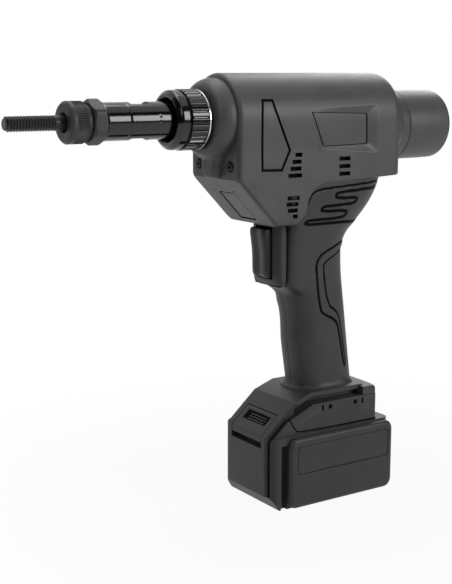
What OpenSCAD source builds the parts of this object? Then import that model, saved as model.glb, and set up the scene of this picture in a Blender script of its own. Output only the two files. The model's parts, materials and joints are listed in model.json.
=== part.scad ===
// Battery rivet-nut tool. Millimetres, +Z up, real size.
// The origin is the centre of the battery's base. The nose points along -X and the left side is -Y.

/* [Body] */
// Outer radius of the barrel
barrel_r = 31.5; // [31:0.25:34]
// Length of the body, front face to rear face
body_l = 149; // [147:1:156]
// Distance of the body's front face ahead of the origin
body_reach = 91; // [88:1:94]
// Height of the nose axis above the underside of the belly
nose_rise = 75; // [73:0.5:78]
// Height of the chin, where the sloping front begins, above the belly
chin_rise = 34; // [32:0.5:36]
// Length of the sloping front along the body
chin_l = 29; // [27:0.5:30]
// Length of the deep belly behind the sloping front
belly_l = 34; // [32:0.5:36]
// Height of the underside of the rear body above the belly
web_rise = 29; // [27:0.5:31]
// Wall of the housing and handle shells
wall = 3; // [2.6:0.1:3.2]

/* [Nose] */
// Length of the mandrel in front of the anvil
mandrel_out_l = 40.5; // [30:0.5:46]
// Radius of the pull mandrel
mandrel_r = 5; // [4:0.25:5.5]
// Pitch of the mandrel thread
thread_pitch = 1.5; // [1:0.25:2]
// Radius of the anvil
anvil_r = 13.9; // [13:0.1:15]
// Length of the anvil head
anvil_l = 13; // [11:0.5:14]
// Radius of the lock nut over its corners
lock_nut_r = 15.2; // [14:0.1:16]
// Length of the lock nut
lock_nut_l = 10; // [8:0.5:11]
// Radius of the nose tube
tube_r = 12.7; // [12:0.1:13.5]
// Length of the nose tube in front of the locking ring
tube_out_l = 49; // [44:0.5:56]
// Radius of the locking ring
ring_r = 20.8; // [20:0.1:21.5]
// Length of the locking ring
ring_l = 24.7; // [23:0.1:27]
// Number of flutes round the locking ring
flute_n = 30; // [20:1:36]
// Radius of the front cover where it meets the body
cover_r = 30; // [29:0.25:31]
// Distance that the front cover stands out of the body
cover_l = 13; // [11:0.5:15]

/* [Drive] */
// Travel of the pull screw
stroke = 7; // [4:0.5:8]
// Radius of the pull screw
screw_r = 8; // [7.5:0.1:8.3]
// Tooth size of the spur gears
spur_module = 1.25; // [1.2:0.01:1.26]
// Tooth size of the planet gears
planet_module = 0.8; // [0.76:0.01:0.82]
// Radius of the motor can
motor_r = 18.5; // [17.5:0.1:18.8]
// Length of the motor can
motor_l = 53; // [50:0.5:56]

/* [Rear drum] */
// Radius of the drum
drum_r = 26.2; // [25:0.1:27]
// Length of the drum behind its seam
drum_l = 41.5; // [36:0.5:48]
// Length of the neck that carries the drum
neck_l = 9.3; // [8:0.1:11]
// Drop of the drum's axis below the nose axis
drum_drop = 7.6; // [6:0.1:8.5]

/* [Handle] */
// Height of the handle from the foot to the belly
handle_h = 126; // [120:1:132]
// Depth of the grip, front to rear
grip_depth = 50.5; // [48:0.5:53]
// Width of the grip
grip_w = 40; // [38.5:0.5:42]
// Height of the trigger
trigger_h = 35; // [33:0.5:37]
// Width of the trigger
trigger_w = 19.4; // [17:0.2:20]
// Travel of the trigger
trigger_travel = 6; // [4:0.5:6.5]
// Thickness of the foot plate
foot_t = 7; // [6:0.5:9]
// Width of the foot plate
foot_w = 50; // [48:0.5:52]

/* [Battery] */
// Width over the side pads
battery_w = 72; // [71:0.5:76]
// Length of the side pads
pad_l = 98; // [97:1:102]
// Height of the side pads
pad_h = 53.5; // [52:0.5:56]
// Height of the battery top
skirt_h = 20.5; // [20:0.5:23]
// Width of the battery top
skirt_w = 60; // [58:0.5:62]
// Width of the front panel
panel_w = 50; // [48:0.5:52]
// Travel of the latch button
latch_travel = 4; // [3:0.5:4.5]
// Radius of one cell
cell_r = 9.15; // [8.9:0.05:9.2]
// Length of one cell
cell_l = 65; // [60:1:66]

/* [Hidden] */
$fn = 64;
// Overrun of every cut, clearance of moving pieces, of running fits and of seats
cut = 1;
clear = 0.3;
fit = 0.05;
seat = 0.1;

// Heights of the main levels
case_lip = 1.5;
case_top_z = pad_h + case_lip;
skirt_top_z = case_top_z + skirt_h;
foot_gap = 0.5;
foot_z = skirt_top_z + foot_gap;
foot_top_z = foot_z + foot_t;
belly_z = foot_top_z + handle_h;
web_z = belly_z + web_rise;
chin_z = belly_z + chin_rise;
nose_z = belly_z + nose_rise;
drum_z = nose_z - drum_drop;

// Places of the body along X
body_x = -body_reach;
rear_x = body_x + body_l;
chin_x = body_x + chin_l;
step_x = chin_x + belly_l;
seam_x = rear_x + neck_l;
front_edge_r = 2;
rear_edge_r = 8;
belly_edge_r = 9;
step_corner_r = 9;
rear_rise = 3;
flank_step = 0.5;
flank_y = barrel_r - flank_step;
bore_r = barrel_r - wall;

// Nose pieces along X
cover_x = body_x - cover_l;
cover_face_r = 24;
cover_neck_r = 16;
cover_neck_l = 14;
cover_bore_r = 10;
ring_gap = 2.3;
ring_x1 = cover_x - ring_gap;
ring_x0 = ring_x1 - ring_l;
tube_x0 = ring_x0 - tube_out_l;
nut_gap = 3.3;
lock_x0 = tube_x0 - clear - lock_nut_l;
anvil_x1 = lock_x0 - nut_gap;
anvil_x0 = anvil_x1 - anvil_l;
tip_x = anvil_x0 - mandrel_out_l;
tube_bore_r = 9;
tube_seat_l = 5;
anvil_bore_r = 6.4;
anvil_neck_r = 11.7;
anvil_spigot_l = 14;
anvil_edge = 1.6;
anvil_band_l = 2.2;
anvil_band_depth = 0.5;
nut_edge = 1.4;
flat_l = 13.6;
flat_offset = 20.4;
flat_depth = 1.5;
thread_l = 32.5;
thread_depth = 0.92;
crest_shares = [0.4, 0.6];
tip_edge = 1.2;
ring_mouth_r = 17;
ring_lip_r = 17.6;
ring_lip_l = 4;
ring_band_l = 4.2;
ring_groove_l = 1.4;
ring_groove_depth = 1.6;
ring_mouth_l = 5;
flute_r = 0.9;

// Gear train: teeth of the drive nut, idler, carrier pinion, sun pinion and planets
nut_teeth = 40;
idler_teeth = 12;
pinion_teeth = 12;
sun_teeth = 12;
planet_teeth = 15;
pressure_angle = 20;
flank_steps = 3;
backlash = 0.2;
addendum_share = 0.8;
dedendum_share = 1.1;
ring_teeth = sun_teeth + 2 * planet_teeth;
planet_n = 3;
planet_orbit_r = planet_module * (sun_teeth + planet_teeth) / 2;
idler_z = nose_z - spur_module * (nut_teeth + idler_teeth) / 2;
motor_z = idler_z - spur_module * (idler_teeth + pinion_teeth) / 2;
gear_setback = 18.5;
gear_w = 7.5;
gear_gap = 0.8;
gear_x0 = body_x + gear_setback;
gear_x1 = gear_x0 + gear_w;
bush_x0 = gear_x1 + gear_gap;
carrier_t = 3.6;
ring_gear_x0 = bush_x0 + carrier_t;
planet_l = 8.5;
ring_gear_x1 = ring_gear_x0 + planet_l + 2 * gear_gap;
ring_gear_wall = 2;
ring_gear_r = planet_module * (ring_teeth / 2 + dedendum_share) + ring_gear_wall;
pin_r = 1.8;
pin_edge = 0.9;
carrier_r = planet_orbit_r + pin_r + pin_edge;
shaft_r = 2.5;
idler_shaft_r = 4;
idler_boss_r = 8;
idler_shaft_l = 22;
fan_gap = 1.5;
fan_l = 3.8;
fan_r = motor_r - fan_gap;
fan_hub_r = 6;
fan_disc_t = 1.2;
fan_blades = 9;
fan_blade_t = 1;
fan_x0 = ring_gear_x1 + fan_gap;
motor_x0 = fan_x0 + fan_l + gear_gap;
motor_x1 = motor_x0 + motor_l;
can_t = 1.5;
magnet_t = 2.6;
magnet_gap_angle = 25;
air_gap = 0.8;
core_r = motor_r - can_t - magnet_t - air_gap;
core_l = 31;
core_offset = 10;
winding_l = 4;
winding_step = 2;
winding_r = core_r - winding_step;
core_slots = 10;
slot_w = 2;
slot_depth = 4;
commutator_r = 7;
commutator_l = 8;
brush_cap_l = 10;
brush_cap_t = 3;

// Spindle line
thrust_l = 7.5;
thrust_r = 20;
thrust_bore_r = 9;
thrust_race_share = 0.3;
thrust_groove = 1;
spigot_l = 15;
hub_r = 14;
bearing_l = 8;
bearing_r = 20;
bearing_groove = 0.8;
bearing_offset = 2;
carrier_lip = 2;
adapter_r = 8.2;
adapter_l = 42;
adapter_grip_l = 20;
adapter_gap = 7.7;
nose_pin_r = 4;
nose_pin_l = 8;
adapter_x1 = tube_x0 + anvil_spigot_l + adapter_gap + adapter_l;
pull_screw_rear = 2;
pull_screw_x1 = rear_x - pull_screw_rear;
socket_r = 4;
socket_l = 10;
crosshead_w = 26;
crosshead_h = 22;
crosshead_l = 14;
crosshead_offset = 8;
guide_r = 20;
guide_tail = 23;
guide_l = crosshead_offset + crosshead_l + stroke + guide_tail;
guide_x0 = rear_x - guide_l - 2 * pull_screw_rear;

// Ribs, bosses and screws of the housing
rib_t = 3;
boss_r = 4.5;
screw_hole_r = 1.9;
screw_head_r = 3.4;
screw_head_h = 2.6;
screw_seat_y = 15;
screw_end_y = 10;
socket_drive_r = 1.5;
body_screw_shares = [[0.24, 0.62], [0.51, 0.63], [0.51, -0.63], [0.80, -1.06]];
// The drive nut's hub ends ahead of the bosses between it and the guide
hub_gap = 10.49;
hub_l = body_x + body_screw_shares[1][0] * body_l - boss_r - hub_gap - gear_x1;
handle_screw_shares = [[0.277, 0.058], [-0.16, 0.51], [0.594, 0.897]];
front_screw_r = 3;
front_screw_y = 20;
front_screw_drop = 32;
front_screw_l = 10;
front_screw_sink = 1.2;

// Inlays of the housing
inlay_t = 1.2;
inlay_gap = 0.5;
panel_shares = [[0.114, 0.18], [0.164, 0.18], [0.273, -0.29], [0.23, -0.47], [0.114, -0.47]];
name_shares = [[0.4, 0.07], [0.75, 0.04], [0.755, -0.25], [0.47, -0.265]];
diagonal_shares = [0.3, 0.95];
diagonal_w = 18;
vent_h = 2.9;
upper_vent_pitch = 4.8;
lower_vent_pitch = 4.35;
rear_vent_pitch = 5.4;
vent_depth = 7;
upper_vent_shares = [[0.276, 0.357], [0.288, 0.352], [0.299, 0.352], [0.316, 0.357]];
lower_vent_shares = [[0.304, 0.333], [0.274, 0.333], [0.267, 0.337], [0.273, 0.343]];
rear_vent_shares = [0.58, 0.648];
rear_vent_n = 3;
upper_vent_rise = 35.8;
lower_vent_rise = 7;
rear_vent_rise = 35.2;

// Handle: each ring has a height share, front and rear shares of the depth, a width share and the
// power of its front half's oval
handle_form_h = handle_h + web_rise;
handle_front_share = -0.79;
handle_shares = [
    [0, -0.425, 0.575, 0.98, 2.7], [0.2, -0.515, 0.485, 1, 2.7], [0.41, -0.595, 0.4, 1, 2.7],
    [0.475, -0.67, 0.37, 1, 3.2], [0.515, handle_front_share, 0.357, 1.01, 4.5],
    [0.62, handle_front_share, 0.34, 1.05, 4.5], [0.69, handle_front_share, 0.347, 1.1, 4.5],
    [0.755, handle_front_share, 0.455, 1.2, 4.5], [0.81, handle_front_share, 0.65, 1.32, 4.5],
    [0.885, handle_front_share, 0.85, 1.44, 4.5], [0.95, handle_front_share, 0.97, 1.5, 4.5],
    [1.03, handle_front_share, 1.03, 1.52, 4.5]];
handle_sides = 32;
handle_power = 2.7;
handle_front_x = handle_front_share * grip_depth;
web_gap = 0.6;
grip_t = 1;
grip_proud = 0.4;
grip_low_shares = [[0.12, 0.27], [0.31, 0.13], [0.345, 0.07], [0.372, -0.1], [0.4, -0.175],
    [0.53, -0.24], [0.605, -0.253], [0.646, -0.19], [0.67, -0.01], [0.695, 0.138]];
grip_high_shares = [[0.65, 0.175], [0.624, 0.026], [0.603, -0.075], [0.575, -0.1],
    [0.417, -0.036], [0.39, 0.022], [0.37, 0.157], [0.328, 0.236], [0.143, 0.364]];

// Trigger and switch
bezel_x1 = handle_front_x - clear;
bezel_l = 9.7;
bezel_x0 = bezel_x1 - bezel_l;
bezel_w = 35;
bezel_sill = 5.5;
bezel_corner_r = 6;
trigger_top = 4.5;
bezel_drop = trigger_top + trigger_h + bezel_sill;
trigger_z1 = belly_z - trigger_top;
trigger_z0 = trigger_z1 - trigger_h;
trigger_mid_z = (trigger_z0 + trigger_z1) / 2;
trigger_out = 6.5;
trigger_rear_l = 8;
trigger_bow_share = 0.35;
trigger_steps = 8;
stem_r = 3;
stem_l = 7;
switch_gap = 0.5;
switch_w = 16;
switch_h = 26;
switch_l = 28;
switch_x0 = bezel_x0 + trigger_rear_l + stem_l + switch_gap;
switch_z0 = trigger_z0 + (trigger_h - switch_h) / 2;
switch_rib_l = 4;
trigger_spring_r = 4.6;
board_t = 1.6;
board_gap = 0.5;
board_shares = [0.12, 0.42];

// Foot and rail
foot_x0 = -38.2;
foot_l = 64.7;
foot_edge = 1.3;
foot_slope_l = 16.2;
foot_relief_h = 3.6;
foot_relief_w = 4;
rail_w = 40;
flange_w = 46;
flange_t = 4;
channel_h = 12.5;
channel_z = skirt_top_z - channel_h;
rail_x1 = foot_x0 + foot_l - clear;
contact_y = 8;
blade_t = 0.8;
blade_l = 10;
fork_t = 0.6;
fork_w = 3;
fork_h = 4.5;
terminal_w = 28;
terminal_l = 20;
terminal_h = 6;

// Battery
pad_t = 4.5;
core_w = battery_w - 2 * pad_t;
core_lead = 12.5;
core_x0 = -pad_l / 2 - core_lead;
core_inset = 1;
core_x1 = pad_l / 2 - core_inset;
core_chin_l = 6;
core_chin_h = 9;
core_corner_r = 5;
pad_corner_r = 7;
case_t = 2.5;
panel_out = 2.2;
panel_x0 = core_x0 - panel_out;
panel_z0 = 10;
panel_edge_r = 2;
panel_corner_z = case_top_z;
slope_x = foot_x0 - clear;
slope_z = foot_z + foot_edge;
brow_drop = 4.7;
knee_setback = 17.7;
skirt_slope_l = 39.7;
skirt_tail = 8.9;
skirt_x1 = foot_x0 + foot_l + skirt_tail;
groove_w = 2.5;
groove_depth = 6;
side_groove_l = 5;
side_groove_depth = 3;
side_groove_drop = 5;
latch_w = 38;
latch_t = 5;
latch_l = 20.2;
latch_drop = 5;
latch_gap = 0.35;
latch_window_w = 28;
latch_window_shares = [0.42, 0.82];
latch_window_t = 3.5;
latch_spring_r = 2;
latch_spring_setback = 10.7;
latch_spring_x = panel_x0 + latch_spring_setback;
cell_gap = 0.6;
cell_step = 2 * cell_r + cell_gap;
cell_row_h = cell_step * sin(60);
cell_lift = 4;
cell_z = case_t + cell_lift + cell_r;
holder_t = 8;
holder_over = 2;
base_screw_r = 2.3;
base_shank_r = 1.4;
base_drive_r = 1;
base_screw_l = 5;
base_screw_sink = 1;
base_screw_y = 22.5;
base_boss_l = 6.6;
core_nose_l = 22.1;
cavity_x0 = core_x0 + core_nose_l;
cavity_x1 = cavity_x0 + cell_l + 2 * (holder_over + seat);
cell_x = (cavity_x0 + cavity_x1) / 2;
mark_r = 1.7;
mark_w = 1.6;
mark_h = 4.6;
mark_depth = 1;
mark_drop = 4;
slot_mark_shares = [0.46, 0.865];
round_mark_shares = [0.535, 0.79];
label_inset = 6;
label_h = 22;
label_depth = 0.5;

// Points of an arc about a centre
function arc(cx, cy, r, a0, a1, n = 8) =
    [for (i = [0 : n]) [cx + r * cos(a0 + (a1 - a0) * i / n), cy + r * sin(a0 + (a1 - a0) * i / n)]];

// Involute angle in degrees at a radius beyond the base circle
function involute(r, base) = r <= base ? 0 :
    let (t = sqrt(pow(r / base, 2) - 1)) t * 180 / PI - atan(t);

// Outline of a spur gear with a tooth centred on angle zero
function gear_points(teeth, unit, add, ded, slim) =
    let (pitch_r = unit * teeth / 2, base = pitch_r * cos(pressure_angle), tip_r = pitch_r + add,
        root_r = pitch_r - ded, start_r = max(base, root_r),
        half = 90 / teeth - slim / pitch_r * 90 / PI + involute(pitch_r, base),
        radii = [for (i = [0 : flank_steps]) start_r + (tip_r - start_r) * i / flank_steps],
        root_a = half - involute(root_r, base),
        flank = concat([[root_r, root_a]], [for (r = radii) [r, half - involute(r, base)]]),
        tooth = concat([for (p = flank) [p[0], -p[1]]], [for (i = [flank_steps + 1 : -1 : 0]) flank[i]]))
    [for (k = [0 : teeth - 1], p = tooth)
        [p[0] * cos(p[1] + 360 / teeth * k), p[0] * sin(p[1] + 360 / teeth * k)]];

// Phase of a gear that meshes with another one in the direction given from the other's centre
function mesh_phase(teeth, phase, direction, next_teeth) =
    (180 - teeth * (phase - direction)) / next_teeth + direction + 180;

// Extrudes a section of the YZ plane along X
module along_x(x0, x1) translate([x0, 0, 0]) rotate([90, 0, 90]) linear_extrude(x1 - x0) children();

// Extrudes an outline of the XZ plane along Y
module along_y(y0, y1) translate([0, y1, 0]) rotate([90, 0, 0]) linear_extrude(y1 - y0) children();

// Turns a profile of radius and X about a line along X at a height
module turned(z, points) translate([0, 0, z]) rotate([0, 90, 0]) rotate_extrude() polygon(points);

// Rod along X at a height
module rod(z, r, x0, x1, y = 0) translate([x0, y, z]) rotate([0, 90, 0]) cylinder(r = r, h = x1 - x0);

// Tube along X at a height
module pipe(z, r, inner_r, x0, x1) turned(z, [[inner_r, x0], [r, x0], [r, x1], [inner_r, x1]]);

// Rod along Y
module cross_rod(x, z, r, y0, y1) translate([x, y1, z]) rotate([90, 0, 0]) cylinder(r = r, h = y1 - y0);

// Box from its corners
module block(from, to) translate(from) cube(to - from);

// Rectangle with round corners
module round_rect(x0, y0, x1, y1, r) {
    translate([x0 + r, y0]) square([x1 - x0 - 2 * r, y1 - y0]);
    translate([x0, y0 + r]) square([x1 - x0, y1 - y0 - 2 * r]);
    for (x = [x0 + r, x1 - r], y = [y0 + r, y1 - r]) translate([x, y]) circle(r);
}

// Gear along X at a height
module gear(z, teeth, unit, phase, x0, x1, y = 0)
    translate([0, y, z]) along_x(x0, x1) rotate(phase)
        polygon(gear_points(teeth, unit, addendum_share * unit, dedendum_share * unit, backlash));

// Keeps the left side for -1 and the right side for 1
module half(side) intersection() {
    children();
    block([2 * tip_x, side < 0 ? -battery_w : 0, -cut], [-2 * tip_x, side < 0 ? 0 : battery_w, 2 * nose_z]);
}

// Side outline of the body below the nose axis, drawn in by an inset
chin_n = [chin_rise, chin_l] / norm([chin_rise, chin_l]);
function belly_outline(inset) = concat(
    [[body_x + inset, nose_z], [body_x + inset, chin_z + inset * (1 - chin_n[0]) / chin_n[1]],
    [chin_x + inset * (1 - chin_n[1]) / chin_n[0], belly_z + inset], [step_x - inset, belly_z + inset]],
    arc(step_x + step_corner_r, web_z - step_corner_r, step_corner_r + inset, 180, 90),
    [[rear_x - inset, web_z + rear_rise + inset], [rear_x - inset, nose_z]]);

// Outer form of the body, drawn in by an inset
module body_form(inset) {
    turned(nose_z, concat([[0, body_x + inset]],
        arc(barrel_r - inset - front_edge_r, body_x + inset + front_edge_r, front_edge_r, -90, 0),
        arc(barrel_r - inset - rear_edge_r, rear_x - inset - rear_edge_r, rear_edge_r, 0, 90),
        [[0, rear_x - inset]]));
    intersection() {
        along_y(-barrel_r, barrel_r) polygon(belly_outline(inset));
        along_x(body_x, rear_x) {
            round_rect(-flank_y + inset, belly_z + inset, flank_y - inset, nose_z, belly_edge_r);
            translate([-flank_y + inset, nose_z - 2 * belly_edge_r])
                square([2 * (flank_y - inset), 2 * belly_edge_r]);
        }
        translate([0, 0, belly_z]) linear_extrude(nose_rise) {
            round_rect(body_x + inset, -flank_y + inset, rear_x - inset, flank_y - inset, rear_edge_r);
            translate([body_x + inset, -flank_y + inset]) square([body_l / 2, 2 * (flank_y - inset)]);
        }
    }
}

// Place on the body's side from a share of its length and a share of the nose axis' height over the belly
function body_point(place) = [body_x + place[0] * body_l, nose_z + place[1] * nose_rise];
panel_outline = [for (p = panel_shares) body_point(p)];
name_outline = [for (p = name_shares) body_point(p)];
body_screws = [for (p = body_screw_shares) [body_x + p[0] * body_l, nose_z + p[1] * barrel_r]];
handle_screws = [for (p = handle_screw_shares) [p[0] * grip_depth, foot_top_z + p[1] * handle_form_h]];

// One row of ventilation slots on both sides
module vent(x0, x1, z)
    for (side = [-1, 1])
        block([x0, side * barrel_r - vent_depth, z - vent_h / 2],
            [x1, side * barrel_r + vent_depth, z + vent_h / 2]);

module vents() {
    for (i = [0 : len(upper_vent_shares) - 1])
        vent(body_x + upper_vent_shares[i][0] * body_l, body_x + upper_vent_shares[i][1] * body_l,
            belly_z + upper_vent_rise + i * upper_vent_pitch);
    for (i = [0 : len(lower_vent_shares) - 1])
        vent(body_x + lower_vent_shares[i][0] * body_l, body_x + lower_vent_shares[i][1] * body_l,
            belly_z + lower_vent_rise + i * lower_vent_pitch);
    for (i = [0 : rear_vent_n - 1])
        vent(body_x + rear_vent_shares[0] * body_l, body_x + rear_vent_shares[1] * body_l,
            belly_z + rear_vent_rise + i * rear_vent_pitch);
}

// Holes of the screws that pull the two shells together, heads on the right side
module screw_holes(places)
    for (p = places) {
        cross_rod(p[0], p[1], screw_hole_r + fit, -screw_end_y - cut, screw_seat_y + cut);
        cross_rod(p[0], p[1], screw_head_r + seat, screw_seat_y, battery_w);
    }

// Slab across the body that carries a round piece
module carrying_rib(x0, z, r) difference() {
    intersection() {
        body_form(wall / 2);
        block([x0, -barrel_r, belly_z], [x0 + rib_t, barrel_r, nose_z - bore_r - fit]);
    }
    rod(z, r, x0 - cut, x0 + rib_t + cut);
}

// Whole hollow body, before it is split
module housing() difference() {
    union() {
        difference() {
            body_form(0);
            body_form(wall);
        }
        rod(drum_z, drum_r + fit, rear_x - wall, seam_x - clear);
        carrying_rib(motor_x0 + 2 * rib_t, motor_z, motor_r + seat);
        carrying_rib(motor_x1 - 2 * rib_t, motor_z, motor_r + seat);
        carrying_rib(ring_gear_x0 + rib_t, motor_z, ring_gear_r + seat);
        for (x = [guide_x0 + rib_t, guide_x0 + guide_l - 4 * rib_t])
            pipe(nose_z, bore_r + wall / 2, guide_r + seat, x, x + rib_t);
        intersection() {
            body_form(wall / 2);
            for (p = body_screws) cross_rod(p[0], p[1], boss_r, -barrel_r, barrel_r);
        }
        for (side = [-1, 1])
            rod(nose_z - front_screw_drop, front_screw_r + wall, body_x + wall / 2,
                body_x + front_screw_l + wall, side * front_screw_y);
    }
    rod(nose_z, bore_r - seat, body_x - cut, body_x + wall + front_edge_r);
    rod(idler_z, idler_boss_r + seat, body_x - cut, body_x + wall + cut);
    rod(drum_z, drum_r - wall + clear, rear_x - 2 * wall, seam_x + cut);
    rod(motor_z, motor_r + seat, motor_x0 - clear, motor_x1 + brush_cap_l + clear);
    for (side = [-1, 1]) {
        rod(nose_z - front_screw_drop, screw_hole_r + fit, body_x - cut, body_x + front_screw_l + fit,
            side * front_screw_y);
        rod(nose_z - front_screw_drop, front_screw_r + seat, body_x - cut,
            body_x + front_screw_sink + screw_head_h, side * front_screw_y);
    }
    screw_holes(body_screws);
    vents();
    for (side = [-1, 1]) {
        inlay_pocket(side, panel_outline);
        inlay_pocket(side, name_outline);
    }
    diagonal_cut();
}

// Shallow pocket in one side of the body
module inlay_pocket(side, outline) difference() {
    along_y(side < 0 ? -battery_w : 0, side < 0 ? 0 : battery_w) polygon(outline);
    body_form(inlay_t);
}

// Thin inlay in one side of the body, set back from the skin
module inlay(side, outline, sunk) intersection() {
    difference() {
        body_form(sunk);
        body_form(inlay_t);
    }
    along_y(side < 0 ? -battery_w : 0, side < 0 ? 0 : battery_w) polygon(outline);
}

// Plate on the sloping front, or its pocket
function diagonal_point(share) = [body_x + share * chin_l, chin_z - share * chin_rise];
module diagonal_slab(depth, rise, w) {
    low = diagonal_point(diagonal_shares[0]);
    high = diagonal_point(diagonal_shares[1]);
    along_y(-w / 2, w / 2)
        polygon([low - chin_n * rise, high - chin_n * rise, high + chin_n * depth, low + chin_n * depth]);
}
module diagonal_cut() diagonal_slab(inlay_t, cut, diagonal_w);

module housing_left() color("#3a3b3d") half(-1) housing();
module housing_right() color("#3a3b3d") half(1) housing();
module side_panel_left() color("#3f4042") inlay(-1, panel_outline, inlay_gap / 4);
module side_panel_right() color("#3f4042") inlay(1, panel_outline, inlay_gap / 4);
module nameplate_left() color("#333436") inlay(-1, name_outline, inlay_gap);
module nameplate_right() color("#333436") inlay(1, name_outline, inlay_gap);
module diagonal_plate() color("#47484a") diagonal_slab(inlay_t, -inlay_gap, diagonal_w);

// Pear-shaped cover with the neck for the locking ring and the bore for the idler shaft
module front_cover() color("#3a3b3d") difference() {
    union() {
        turned(nose_z, concat(
            [[0, cover_x - cover_neck_l], [cover_neck_r, cover_x - cover_neck_l], [cover_neck_r, cover_x],
            [cover_face_r, cover_x]],
            [for (a = [15 : 15 : 90])
                [cover_face_r + (cover_r - cover_face_r) * sin(a), cover_x + cover_l * (1 - cos(a))]],
            [[bore_r - 2 * seat, body_x], [bore_r - 2 * seat, body_x + spigot_l], [0, body_x + spigot_l]]));
        along_x(body_x - cover_l / 2, body_x) {
            translate([0, idler_z]) circle(idler_boss_r + wall / 2);
            polygon([[-idler_boss_r - wall / 2, idler_z], [idler_boss_r + wall / 2, idler_z],
                [cover_r / 2, nose_z - cover_r / 2], [-cover_r / 2, nose_z - cover_r / 2]]);
        }
        rod(idler_z, idler_boss_r, body_x - cut, gear_x0 - gear_gap);
    }
    rod(nose_z, tube_r + fit, cover_x - cover_neck_l - cut, cover_x + tube_seat_l);
    rod(nose_z, cover_bore_r, cover_x, body_x + spigot_l + cut);
    rod(nose_z, thrust_r + fit, gear_x0 - seat - thrust_l, body_x + spigot_l + cut);
    rod(idler_z, idler_shaft_r + fit, gear_x0 - idler_shaft_l - clear, gear_x0);
}

module front_screws() color("#2a2a2a")
    for (side = [-1, 1]) difference() {
        union() {
            rod(nose_z - front_screw_drop, front_screw_r, body_x + front_screw_sink,
                body_x + front_screw_sink + screw_head_h, side * front_screw_y);
            rod(nose_z - front_screw_drop, screw_hole_r, body_x + front_screw_sink, body_x + front_screw_l,
                side * front_screw_y);
        }
        rod(nose_z - front_screw_drop, socket_drive_r, body_x, body_x + screw_head_h, side * front_screw_y);
    }

module housing_screws() color("#2a2a2a")
    for (p = concat(body_screws, handle_screws)) difference() {
        union() {
            cross_rod(p[0], p[1], screw_head_r, screw_seat_y, screw_seat_y + screw_head_h);
            cross_rod(p[0], p[1], screw_hole_r, -screw_end_y, screw_seat_y);
        }
        cross_rod(p[0], p[1], socket_drive_r, screw_seat_y + screw_head_h / 2,
            screw_seat_y + screw_head_h + cut);
    }

// Twist-off cap over the rear end of the pull screw
module rear_drum() color("#353638") turned(drum_z, concat(
    [[0, seam_x + drum_l]],
    arc(drum_r - wall, seam_x + drum_l - wall, wall, 90, 0),
    [[drum_r, seam_x], [drum_r - wall, seam_x], [drum_r - wall, rear_x + clear],
    [drum_r - 2 * wall, rear_x + clear], [drum_r - 2 * wall, seam_x + drum_l - wall],
    [0, seam_x + drum_l - wall]]));

// Threaded mandrel, its thread drawn as grooves
thread_n = floor(thread_l / thread_pitch);
module pull_mandrel() color("#1d1d1e") turned(nose_z, concat(
    [[0, tip_x], [mandrel_r - tip_edge, tip_x], [mandrel_r - thread_depth, tip_x + tip_edge]],
    [for (i = [0 : thread_n - 1], p = [[thread_depth, 0], [0, crest_shares[0]], [0, crest_shares[1]]])
        [mandrel_r - p[0], tip_x + tip_edge + (i + p[1]) * thread_pitch]],
    [[mandrel_r - thread_depth, tip_x + tip_edge + thread_n * thread_pitch],
    [mandrel_r, tip_x + tip_edge + (thread_n + 1) * thread_pitch],
    [mandrel_r, adapter_x1 - adapter_l + adapter_grip_l], [0, adapter_x1 - adapter_l + adapter_grip_l]]));

module mandrel_adapter() color("#6c6e70") difference() {
    rod(nose_z, adapter_r, adapter_x1 - adapter_l, adapter_x1);
    rod(nose_z, mandrel_r + fit, adapter_x1 - adapter_l - cut, adapter_x1 - adapter_l + adapter_grip_l);
    rod(nose_z, nose_pin_r + fit, adapter_x1 - nose_pin_l - clear, adapter_x1 + cut);
}

module anvil() color("#29292a") turned(nose_z, [
    [anvil_bore_r, anvil_x0], [anvil_r - anvil_edge, anvil_x0], [anvil_r, anvil_x0 + anvil_edge],
    [anvil_r, anvil_x0 + 2 * anvil_band_l], [anvil_r - anvil_band_depth, anvil_x0 + 2 * anvil_band_l],
    [anvil_r - anvil_band_depth, anvil_x0 + 3 * anvil_band_l], [anvil_r, anvil_x0 + 3 * anvil_band_l],
    [anvil_r, anvil_x1 - anvil_band_depth], [anvil_r - anvil_band_depth, anvil_x1],
    [anvil_neck_r, anvil_x1], [anvil_neck_r, tube_x0 - clear], [tube_bore_r - clear, tube_x0 - clear],
    [tube_bore_r - clear, tube_x0 + anvil_spigot_l], [anvil_bore_r, tube_x0 + anvil_spigot_l]]);

module lock_nut() color("#2c2c2d") difference() {
    intersection() {
        turned(nose_z, [[0, lock_x0], [lock_nut_r - nut_edge, lock_x0], [lock_nut_r, lock_x0 + nut_edge],
            [lock_nut_r, lock_x0 + lock_nut_l - nut_edge], [lock_nut_r - nut_edge, lock_x0 + lock_nut_l],
            [0, lock_x0 + lock_nut_l]]);
        along_x(lock_x0, lock_x0 + lock_nut_l) translate([0, nose_z])
            circle(lock_nut_r + nut_edge / 2, $fn = 6);
    }
    rod(nose_z, anvil_neck_r + clear, lock_x0 - cut, lock_x0 + lock_nut_l + cut);
}

module nose_tube() color("#19191a") difference() {
    pipe(nose_z, tube_r, tube_bore_r, tube_x0, cover_x + tube_seat_l);
    for (side = [-1, 1])
        translate([tube_x0 + flat_offset, -tube_r, nose_z + side * tube_r - flat_depth])
            cube([flat_l, 2 * tube_r, 2 * flat_depth]);
}

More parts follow.
